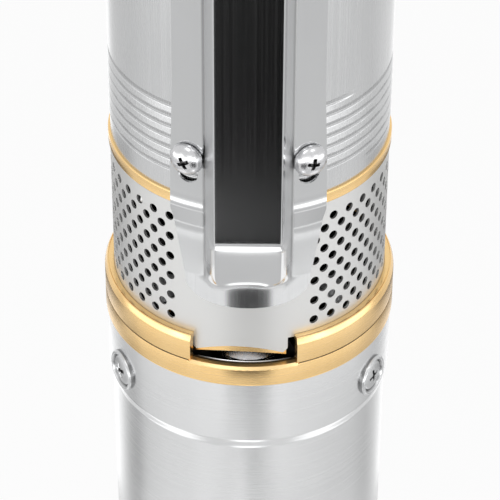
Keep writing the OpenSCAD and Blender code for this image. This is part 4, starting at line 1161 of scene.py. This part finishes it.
@dataclass
class IntakeBracket:
    """The brass bracket: a flange with a notch for the strainer's tab, six legs and the band with its spigot.

    Attributes:
        base: Level of the mounting face.
        parting: Level of the rim's lower edge over the motor's flange.
        rim: Level of the top of the flange's rim.
        seat: Level of the strainer's seat.
        radius: Outside radius of the flange.
        chamfer: Width and height of the rim's chamfer.
        line: Width and depth of the turned line inside the chamfer.
        rim_bore: Bore of the rim round the strainer.
        rim_inside: Inside radius of the rim below the seat.
        ledge: Inside radius of the seat.
        core: Radius of the plate inside.
        bore: Bore of the plate.
        notch: Angles of the notch's two sides.
        way: Angles of the cable way's two sides.
        way_top: Level of the cable way's roof.
        lip: Radius of the lip behind the tab.
        lip_level: Level of the lip's lower edge in the middle of the tab.
        lip_drop: How far that edge comes down to the tab's sides.
        tab: Middle and half of the angle that the tab spans.
        legs: Angles of the legs.
        half_leg: Half angle of a leg.
        leg: Inner and outer radius of a leg.
        band: Outside radius of the band.
        band_levels: Lower and upper level of the band.
        spigot: Radius of the spigot in the casing.
        spigot_top: Level of its end.
        spigot_bore: Bore of the spigot.
        tie: Inner and outer radius of the ring under the band that joins the legs.
        tie_height: Height of that ring.
    """

    base: float = 350.0
    parting: float = 351.1
    rim: float = 361.0
    seat: float = 360.0
    radius: float = 49.75
    chamfer: tuple[float, float] = (0.85, 2.3)
    line: tuple[float, float] = (0.22, 0.4)
    rim_bore: float = 46.53
    rim_inside: float = 47.3
    ledge: float = 45.35
    core: float = 43.0
    bore: float = 29.1
    notch: tuple[float, float] = (-23.1, 18.9)
    way: tuple[float, float] = (-26.0, 22.0)
    way_top: float = 355.5
    lip: float = 45.65
    lip_level: float = 354.8
    lip_drop: float = 2.4
    tab: tuple[float, float] = (-3.9, 19.7)
    legs: tuple[float, ...] = (24.0, 90.0, 156.0, 204.0, 270.0, 336.0)
    half_leg: float = 6.5
    leg: tuple[float, float] = (38.6, 45.2)
    band: float = 47.1
    band_levels: tuple[float, float] = (412.0, RolledCasing.low)
    spigot: float = 44.0
    spigot_top: float = 448.2
    spigot_bore: float = 38.0
    tie: tuple[float, float] = (36.6, 45.3)
    tie_height: float = 3.5

    def flange(self, skin: Skin) -> None:
        """Adds the rim: a thin wall with a seat for the strainer, swept round from side to side of the notch.

        Args:
            skin: Skin that takes the surfaces.
        """
        wide, tall = self.chamfer
        gap, deep = self.line
        edge, under = self.radius - wide, self.seat - 0.9
        groove = edge - 0.3
        rim = fillet([(self.rim_inside, self.parting, 0.05), (self.radius, self.parting, 0.2),
                      (self.radius, self.rim - tall, 0.5), (edge, self.rim, 0.3),
                      (groove, self.rim, 0.04), (groove, self.rim - deep, 0.03),
                      (groove - gap, self.rim - deep, 0.03), (groove - gap, self.rim, 0.04),
                      (self.rim_bore, self.rim, 0.2), (self.rim_bore, self.seat, 0.05),
                      (self.ledge, self.seat, 0.05), (self.ledge, under, 0.05),
                      (self.rim_inside, under, 0.05)])
        skin.sweep(rim, self.notch[1], self.notch[0] + 360.0, 240)

    def inner(self, skin: Skin) -> None:
        """Adds the plate, its foot beside the cable way, and the legs.

        Args:
            skin: Skin that takes the surfaces.
        """
        plate = fillet([(self.bore, self.way_top, 0.2), (self.core, self.way_top, 0.2),
                        (self.core, self.seat, 0.3), (self.bore, self.seat, 0.3)])
        skin.ring(plate)
        side, low, high = self.ledge - 1.2, self.seat - 1.0, self.band_levels[0] - 2.0
        foot = fillet([(self.bore, self.base, 0.2), (side, self.base, 0.1), (side, low, 0.1),
                       (self.bore, low, 0.2)])
        skin.sweep(foot, self.way[1], self.way[0] + 360.0, 160)
        near, far = self.leg
        leg = fillet([(near, low, 0.3), (far, low, 0.3), (far, high, 0.3), (near, high, 0.3)])
        for angle in self.legs:
            skin.sweep(leg, angle - self.half_leg, angle + self.half_leg, 12)

    def behind_tab(self, skin: Skin) -> None:
        """Adds the lip behind the tab, whose lower edge is lip_level less lip_drop u squared across the tab.

        Args:
            skin: Skin that takes the surfaces.
        """
        u = np.linspace(-1.0, 1.0, 48)
        angle = (self.tab[0] + self.tab[1] * u)[:, None]
        edge = self.lip_level - self.lip_drop * u * u
        top = np.full_like(u, self.seat - 0.2)
        back = self.core - 0.5
        radii = np.array([back, self.lip, self.lip, back])
        skin.tube(around(radii, angle, np.stack([top, top, edge, edge], axis=-1)))

    def build(self) -> None:
        """Makes rim, inner parts, lip and band as closed profiles carried round the axis."""
        skin = Skin()
        self.flange(skin)
        self.inner(skin)
        self.behind_tab(skin)
        low, high = self.band_levels
        near, far = self.tie
        foot = low - self.tie_height
        band = fillet([(near, foot, 0.3), (far, foot, 0.3), (far, low, 0.1),
                       (self.band, low, 0.5), (self.band, high, 0.5), (self.spigot, high, 0.1),
                       (self.spigot, self.spigot_top, 0.5), (self.spigot_bore, self.spigot_top, 0.3),
                       (self.spigot_bore, low, 0.5)])
        skin.ring(band)
        enter(skin.build("intake_bracket"), Finish.bracket_brass, Body.PUMP, "suction_bracket")


@dataclass
class MotorHead:
    """The round edge of the motor's brass flange, the pressed steel dish in it and the cable's gland.

    Attributes:
        radius: Outside radius of the flange.
        inside: Inside radius of its raised edge.
        low: Level of the flange's underside.
        high: Level of the raised edge.
        chamfers: Width and height of the raised edge's chamfer under the bracket and in its notch.
        notch: Angles of the notch's two sides.
        fade: Angle over which edge and dish change at each side.
        dish: Outside radius of the dish.
        rim: Width of the dish's rim.
        floor: Lower and upper level of its floor.
        rims: Levels of its rim under the bracket and in the notch.
        clean: Angle of the dish's lit place in the notch, where no shade is painted.
        shadow: Angles from there between which its painted shade sets in.
        dirt: Shares of painted shade on the edge's top, inside the dish and beside its lit place.
        hub: Radius of the hole in the dish's middle.
        gland_place: Distance of the gland from the axis.
        gland: Radius of the gland's head.
        gland_levels: Foot of the stem, edge of the head and top of the head.
        gland_bore: Bore of the gland.
        gland_stem: Radius of the gland's stem.
    """

    radius: float = 49.77
    inside: float = 46.4
    low: float = 343.12
    high: float = 350.8
    chamfers: tuple[tuple[float, float], tuple[float, float]] = ((0.2, 0.2), (2.2, 0.8))
    notch: tuple[float, float] = IntakeBracket.notch
    fade: float = 1.5
    dish: float = 46.2
    rim: float = 1.9
    floor: tuple[float, float] = (343.0, 344.2)
    rims: tuple[float, float] = (349.9, 350.2)
    clean: float = -2.0
    shadow: tuple[float, float] = (6.0, 19.0)
    dirt: Triple = (0.8, 0.93, 0.9)
    hub: float = 12.9
    gland_place: float = 27.0
    gland: float = 13.7
    gland_levels: tuple[float, float, float] = (338.0, 346.3, 349.3)
    gland_bore: float = 8.2
    gland_stem: float = 10.0

    def open(self, angles: Array) -> Array:
        """Gives 1 in the notch and 0 outside it, with a smooth step at each side."""
        a = (angles + 180.0) % 360.0 - 180.0
        left, right = self.notch
        return rise(a, left - self.fade, left) * (1 - rise(a, right, right + self.fade))

    def blend(self, rings: list[Array], angles: Array) -> Array:
        """Carries two profiles round the axis, of which the second shows in the notch."""
        share = self.open(angles)[:, None, None]
        return turn(rings[0], angles) * (1 - share) + turn(rings[1], angles) * share

    def edge(self) -> None:
        """Makes the flange's edge: its chamfer grows in the notch, and its top is painted dark as shade under
        the bracket.
        """
        angles = full(720)
        rings = [fillet([(self.inside, self.low, 0.1), (self.radius, self.low, 0.4),
                         (self.radius, self.high - tall, tall * 0.4),
                         (self.radius - wide, self.high, wide * 0.2), (self.inside, self.high, 0.25)])
                 for wide, tall in self.chamfers]
        # Painted shade: the top of the raised edge outside the notch is darkened as the shaded gap under the
        # bracket.
        soil = self.dirt[0] * (rings[0][:, 1] > self.high - 0.18) * (1 - self.open(angles)[:, None])
        skin = Skin()
        skin.grid(self.blend(rings, angles), True, True, soil)
        enter(skin.build("flange_edge"), Finish.brass, Body.PUMP)

    def cover(self) -> None:
        """Makes the dish, whose rolled rim comes up in the notch."""
        angles = full(360)
        low, high = self.floor
        near = self.dish - self.rim
        rings = [fillet([(self.hub, low, 0.1), (self.dish, low, 0.1), (self.dish, top - 1.6, 0.3),
                         (self.dish - 1.15, top, 0.3), (near, top - 0.1, 0.2), (near - 0.8, high, 0.8),
                         (self.hub, high, 0.2)]) for top in self.rims]
        # Painted shade: the dish is darkened inside its rim and away from its lit place in the notch.
        side = np.abs((angles - self.clean + 180.0) % 360.0 - 180.0)[:, None]
        inner = rings[1][None, :, 0] < self.dish - 1.6
        soil = np.maximum(self.dirt[1] * inner, self.dirt[2] * rise(side, *self.shadow))
        skin = Skin()
        skin.grid(self.blend(rings, angles), True, True, soil)
        enter(skin.build("seal_dish"), Finish.dish_steel, Body.PUMP, "seal_cover")

    def screwed_gland(self) -> None:
        """Makes the gland: a profile with a sloped head carried round its own axis in front of the shaft."""
        foot, edge, top = self.gland_levels
        seat = self.floor[1]
        ring = fillet([(self.gland_bore, foot, 0.2), (self.gland_stem, foot, 0.4),
                       (self.gland_stem, seat, 0.1), (self.gland, seat, 0.1), (self.gland, edge, 0.3),
                       (self.gland - 0.6, edge + 0.1, 0.1),
                       (self.gland - 3.1, top, 0.25), (self.gland_bore, top, 0.1)])
        skin = Skin()
        skin.grid(turn(ring, full(128)) - np.array([0.0, self.gland_place, 0.0]), True, True)
        enter(skin.build("sloped_gland"), Finish.screw_steel, Body.PUMP, "cable_gland")

    def build(self) -> None:
        """Makes edge, dish and gland."""
        self.edge()
        self.cover()
        self.screwed_gland()


@dataclass
class ClosingSpring:
    """The check valve's spring: round wire on a helix, made at one fixed length.

    Attributes:
        radius: Radius of the coil.
        wire: Radius of the wire.
        levels: Lower and upper end of the spring.
        turns: Number of turns.
        keep: Share of its length that is left when the valve is open; not used.
    """

    radius: float = 9.0
    wire: float = 0.8
    levels: tuple[float, float] = (679.3, 696.1)
    turns: int = 5
    keep: float = 0.525

    def build(self) -> None:
        """Makes the wire: rings in planes through the axis, whose middles climb evenly along a helix."""
        low, high = self.levels
        t = np.linspace(0, 1, 48 * self.turns + 1)[:, None]
        a, b = 2 * math.pi * self.turns * t, np.linspace(0, 2 * math.pi, 16, endpoint=False)[None]
        r = self.radius + self.wire * np.cos(b)
        z = low + self.wire + (high - low - 2 * self.wire) * t + self.wire * np.sin(b)
        skin = Skin()
        skin.tube(np.stack([r * np.cos(a), r * np.sin(a), z], axis=-1))
        spring = skin.build("closing_spring")
        enter(spring, Finish.inner_steel, Body.PUMP, "valve_spring")
        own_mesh(spring)


@dataclass
class CadNodes:
    """The CAD nodes that stay in sight, with the finishes of their slots.

    Attributes:
        frame: The loaded frame.
    """

    frame: dict

    def shading(self) -> bpy.types.NodeTree:
        """Makes the node group that shades a CAD node smooth up to 30 degrees between faces."""
        tree = bpy.data.node_groups.new("even_shading", "GeometryNodeTree")
        tree.interface.new_socket("Geometry", in_out="INPUT", socket_type="NodeSocketGeometry")
        tree.interface.new_socket("Geometry", in_out="OUTPUT", socket_type="NodeSocketGeometry")
        begin, end = tree.nodes.new("NodeGroupInput"), tree.nodes.new("NodeGroupOutput")
        merge = tree.nodes.new("GeometryNodeMergeByDistance")
        merge.inputs["Distance"].default_value = 2e-6
        smooth, sharp = (tree.nodes.new("GeometryNodeSetShadeSmooth") for _ in range(2))
        sharp.domain = "EDGE"
        sharp.inputs["Shade Smooth"].default_value = False
        angle, test = tree.nodes.new("GeometryNodeInputMeshEdgeAngle"), tree.nodes.new("ShaderNodeMath")
        test.operation = "GREATER_THAN"
        test.inputs[1].default_value = math.radians(30.0)
        tree.links.new(begin.outputs[0], merge.inputs["Geometry"])
        tree.links.new(merge.outputs["Geometry"], smooth.inputs["Geometry"])
        tree.links.new(smooth.outputs["Geometry"], sharp.inputs["Geometry"])
        tree.links.new(angle.outputs["Unsigned Angle"], test.inputs[0])
        tree.links.new(test.outputs[0], sharp.inputs["Selection"])
        tree.links.new(sharp.outputs["Geometry"], end.inputs[0])
        return tree

    def dress(self) -> None:
        """Gives every node its slot's finish and even shading."""
        tree = self.shading()
        for entry in self.frame["record"]["materials"]:
            for node in entry.get("nodes", []):
                piece = self.frame["nodes"][node]
                Finish[entry["slot"]].dress(piece)
                piece.modifiers.new("even_shading", "NODES").node_group = tree
                log.info("%s: %s", node, entry["slot"])


@dataclass
class Studio:
    """Pale floor, white surroundings, soft lamps, cards for polished metal and the photograph's camera.

    Attributes:
        aim: Point on the axis that the camera looks at.
        distance: Distance of the camera from it.
        elevation: Angle of the view above the horizon in degrees.
        roll: Turn of the camera about its own line of sight in degrees.
        lens: Focal length on a 36 mm sensor.
        floor: Half width of the floor in metres.
        floor_level: Level of the floor, a little below the pump's foot.
        near: Brightness of the floor close to the pump as metal shows it.
        far: The same far from the pump.
        shore: Distances in metres from the axis between which it changes.
        white: Share of the floor that is plain white to the eye.
        haze: Strength of the surroundings as a light on the rest.
        card_level: Level of the cards over the floor.
    """

    aim: Triple = (0.24, 0.0, 362.3)
    distance: float = 892.0
    elevation: float = 37.39
    roll: float = 0.3
    lens: float = 186.5
    floor: float = 30.0
    floor_level: float = -0.4
    near: float = 0.84
    far: float = 1.06
    shore: tuple[float, float] = (0.94, 1.04)
    white: float = 0.92
    haze: float = 0.55
    card_level: float = 2.0

    def camera(self) -> None:
        """Makes the camera at the photograph's viewing angle."""
        data = bpy.data.cameras.new("camera")
        data.lens = self.lens
        data.sensor_width = 36.0
        data.clip_start, data.clip_end = 0.01, 200.0
        eye = bpy.data.objects.new("camera", data)
        tilt = math.radians(self.elevation)
        back = Vector((0.0, -math.cos(tilt), math.sin(tilt)))
        eye.location = (Vector(self.aim) + back * self.distance) / 1000.0
        eye.rotation_mode = "QUATERNION"
        roll = Quaternion((0, 0, 1), math.radians(self.roll))
        eye.rotation_quaternion = Quaternion((1, 0, 0), math.pi / 2 - tilt) @ roll
        bpy.context.scene.collection.objects.link(eye)
        bpy.context.scene.camera = eye

    def seen(self, tree: bpy.types.NodeTree) -> Socket:
        """Gives 1 for rays that show the surroundings: camera, glossy and transmission rays.

        Args:
            tree: Node tree that takes the nodes.

        Returns:
            The socket with the value.
        """
        path = tree.nodes.new("ShaderNodeLightPath")
        total = path.outputs["Is Camera Ray"]
        for name in ("Is Glossy Ray", "Is Transmission Ray"):
            either = tree.nodes.new("ShaderNodeMath")
            either.operation = "MAXIMUM"
            tree.links.new(total, either.inputs[0])
            tree.links.new(path.outputs[name], either.inputs[1])
            total = either.outputs[0]
        return total

    def world(self) -> None:
        """Makes surroundings that are white to the eye and in metal, and a plain soft light on the rest."""
        world = bpy.data.worlds.new("surroundings")
        world.use_nodes = True
        tree = world.node_tree
        back = tree.nodes["Background"]
        back.inputs["Color"].default_value = (1.0, 1.0, 1.0, 1.0)
        level = tree.nodes.new("ShaderNodeMapRange")
        level.inputs["To Min"].default_value = self.haze
        level.inputs["To Max"].default_value = 1.0
        tree.links.new(self.seen(tree), level.inputs["Value"])
        tree.links.new(level.outputs["Result"], back.inputs["Strength"])
        bpy.context.scene.world = world

    def ground(self) -> None:
        """Makes the pale floor, white to the eye, which still takes the pump's shadow."""
        reach = np.linspace(-self.floor, self.floor, 3) * 1000.0
        x, y = np.meshgrid(reach, reach)
        skin = Skin()
        skin.grid(np.stack([x, y, np.full_like(x, self.floor_level)], axis=-1))
        floor = skin.build("floor", closed=False)
        graph = Graph("pale_floor")
        for name, value in (("Base Color", (0.9, 0.9, 0.9)), ("Roughness", 0.9), ("Specular IOR Level", 0.0)):
            graph.feed(name, value)
        share = graph.maths("MULTIPLY", self.seen(graph.material.node_tree), self.white)
        shade = graph.mapped(graph.off_axis(1.0), *self.shore, self.near, self.far,
                             interpolation_type="SMOOTHSTEP")
        glossy = graph.add("ShaderNodeLightPath").outputs["Is Glossy Ray"]
        glow = graph.shine((1.0, 1.0, 1.0), graph.mapped(glossy, 0.0, 1.0, 1.0, shade))
        blend = graph.add("ShaderNodeMixShader")
        for target, part in zip(blend.inputs, (share, graph.shader.outputs[0], glow)):
            graph.put(target, part)
        graph.show(blend.outputs[0])
        floor.data.materials.append(graph.material)

    def card(self, name: str, radii: tuple[float, float], stops: tuple[tuple[float, float], ...]) -> None:
        """Lays a card on the floor, part of a ring round the pump, that only polished metal shows.

        The brightness runs in straight lines from stop to stop.

        Args:
            name: Name of the card.
            radii: Inner and outer radius in metres.
            stops: Angles from the front in degrees with the brightness there, where 1 is white.
        """
        first, last = stops[0][0], stops[-1][0]
        profile = np.stack([np.linspace(*radii, 3) * 1000.0, np.full(3, self.card_level)], axis=-1)
        skin = Skin()
        skin.grid(turn(profile, np.linspace(first, last, 48))[::-1])
        card = skin.build(name, closed=False)
        graph = Graph(name)
        x, y, _ = graph.parts((1.0, -1.0, 1.0))
        share = graph.mapped(graph.maths("ARCTAN2", x, y), math.radians(first), math.radians(last))
        ramp = graph.add("ShaderNodeValToRGB")
        while len(ramp.color_ramp.elements) < len(stops):
            ramp.color_ramp.elements.new(1.0)
        for element, (at, level) in zip(ramp.color_ramp.elements, stops):
            element.position = (at - first) / (last - first)
            element.color = (level / CARD_WHITE,) * 3 + (1.0,)
        graph.put(ramp.inputs["Fac"], share)
        graph.show(graph.shine(ramp.outputs["Color"], CARD_WHITE))
        card.data.materials.append(graph.material)
        card.visible_camera = card.visible_diffuse = card.visible_shadow = False

    def lamp(self, name: str, place: Triple, aim: Triple, size: tuple[float, float], glow: float) -> None:
        """Makes a soft lamp.

        Args:
            name: Name of the lamp.
            place: Its place in metres.
            aim: Point that it faces.
            size: Width and height in metres.
            glow: Brightness of its face, where 1 is white.
        """
        data = bpy.data.lights.new(name, "AREA")
        data.shape = "RECTANGLE"
        data.size, data.size_y = size
        data.energy = glow * math.pi * size[0] * size[1]
        lamp = bpy.data.objects.new(name, data)
        lamp.location = place
        lamp.rotation_mode = "QUATERNION"
        lamp.rotation_quaternion = (Vector(aim) - Vector(place)).to_track_quat("-Z", "Y")
        lamp.visible_camera = False
        bpy.context.scene.collection.objects.link(lamp)

    def cards(self) -> None:
        """Lays the cards: those in the middle, and those that stand in pairs on both sides."""
        for name, radii, stops in (
                ("patch_card", (0.47, 0.576), (
                    (-18.5, 0.8), (-14.0, 0.2), (-8.0, 0.05), (0.0, 0.0), (5.0, 0.0), (14.0, 0.2),
                    (18.5, 0.8))),
                ("crown_card_low", (0.576, 0.628), ((-16.5, 0.3), (-5.0, 0.16), (0.0, 0.08), (16.5, 0.06))),
                ("crown_card_mid", (0.628, 0.655), ((-16.5, 0.3), (-5.0, 0.1), (0.0, 0.025), (16.5, 0.02))),
                ("crown_card_high", (0.655, 1.5), ((-16.5, 0.2), (-5.0, 0.03), (-1.0, 0.006), (16.5, 0.006))),
                ("brass_card", (0.442, 0.47), ((-30.0, 1.05), (-16.0, 1.65), (16.0, 1.65), (30.0, 1.05))),
                ("bevel_card", (0.19, 0.295), ((-12.0, 2.4), (12.0, 2.4))),
                ("motor_card", (0.3, 0.436), (
                    (-175.0, 1.6), (-150.0, 1.5), (-134.0, 1.15), (-117.0, 0.55), (-103.0, 0.4),
                    (-92.0, 0.72), (-66.0, 0.84), (-50.0, 0.88), (-36.0, 1.02), (-21.0, 0.92),
                    (-3.0, 0.9), (1.0, 0.6), (8.0, 0.6), (14.0, 0.8), (27.0, 0.93), (42.0, 0.86),
                    (57.0, 0.78), (73.0, 0.72), (92.0, 0.7), (114.0, 0.55), (128.0, 0.75),
                    (150.0, 1.3), (175.0, 1.4))),
                ("edge_card_left", (0.6, 2.5), (
                    (-180.0, 1.8), (-158.0, 1.6), (-149.0, 1.15), (-140.0, 0.86))),
                ("edge_card_right", (0.6, 2.5), (
                    (115.0, 0.86), (135.0, 0.95), (153.0, 1.05), (164.0, 1.6), (180.0, 1.8)))):
            self.card(name, radii, stops)
        for side, name in SIDES:
            for kind, radii, stops in (
                    ("ring", (0.488, 0.537), ((17.0, 1.45), (95.0, 1.45))),
                    ("bed", (0.537, 0.6), ((17.0, 1.0), (108.0, 1.0))),
                    ("side", (0.13, 0.285), ((54.0, 1.5), (104.0, 1.5))),
                    ("ridge", (0.97, 2.5), ((85.0, 0.72), (114.0, 0.72))),
                    ("shade", (0.47, 0.6), ((108.0, 0.8), (118.0, 0.12), (156.0, 0.05), (170.0, 0.6)))):
                mirrored = tuple(sorted((side * angle, level) for angle, level in stops))
                self.card(f"{kind}_card_{name}", radii, mirrored)

    def lamps(self) -> None:
        """Hangs the lamps: two above, one low in front and two low ones on each side."""
        middle = (0.0, 0.0, 0.4)
        self.lamp("key", (-0.5, -1.0, 2.2), middle, (0.7, 0.7), 4.0)
        self.lamp("fill", (1.1, -0.9, 1.9), middle, (0.6, 0.6), 2.6)
        for side, name in SIDES:
            self.lamp(f"low_{name}", (side * 0.87, -0.5, 0.22), (0.0, 0.0, 0.22), (1.5, 0.3), 1.4)
        self.lamp("low_front", (0.0, -1.15, 0.37), (0.0, 0.0, 0.37), (0.9, 0.3), 4.0)
        for side, name in SIDES:
            self.lamp(f"strip_{name}", (side * 0.92, -0.77, 0.4), (0.0, 0.0, 0.36), (0.22, 0.2), 2.4)

    def build(self) -> None:
        """Makes camera, surroundings, floor, cards and lamps."""
        bpy.context.scene.view_settings.view_transform = "Standard"
        self.camera()
        self.world()
        self.ground()
        self.cards()
        self.lamps()


def corners(box: tuple[Vector, Vector]) -> list[list[float]]:
    """Gives a box as plain lists of its lowest and highest corner."""
    return [[float(value) for value in corner] for corner in box]


def main() -> None:
    """Loads the frame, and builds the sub-assemblies and the studio."""
    logging.basicConfig(level=logging.INFO, format="%(name)s %(message)s")
    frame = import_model()
    Studio().build()
    CadNodes(frame).dress()
    MotorShell().build()
    MotorHead().build()
    IntakeBracket().build()
    RolledCasing().build()
    PressedGuard().build()
    Screws().build()
    ClosingSpring().build()


if __name__ == "__main__":
    main()
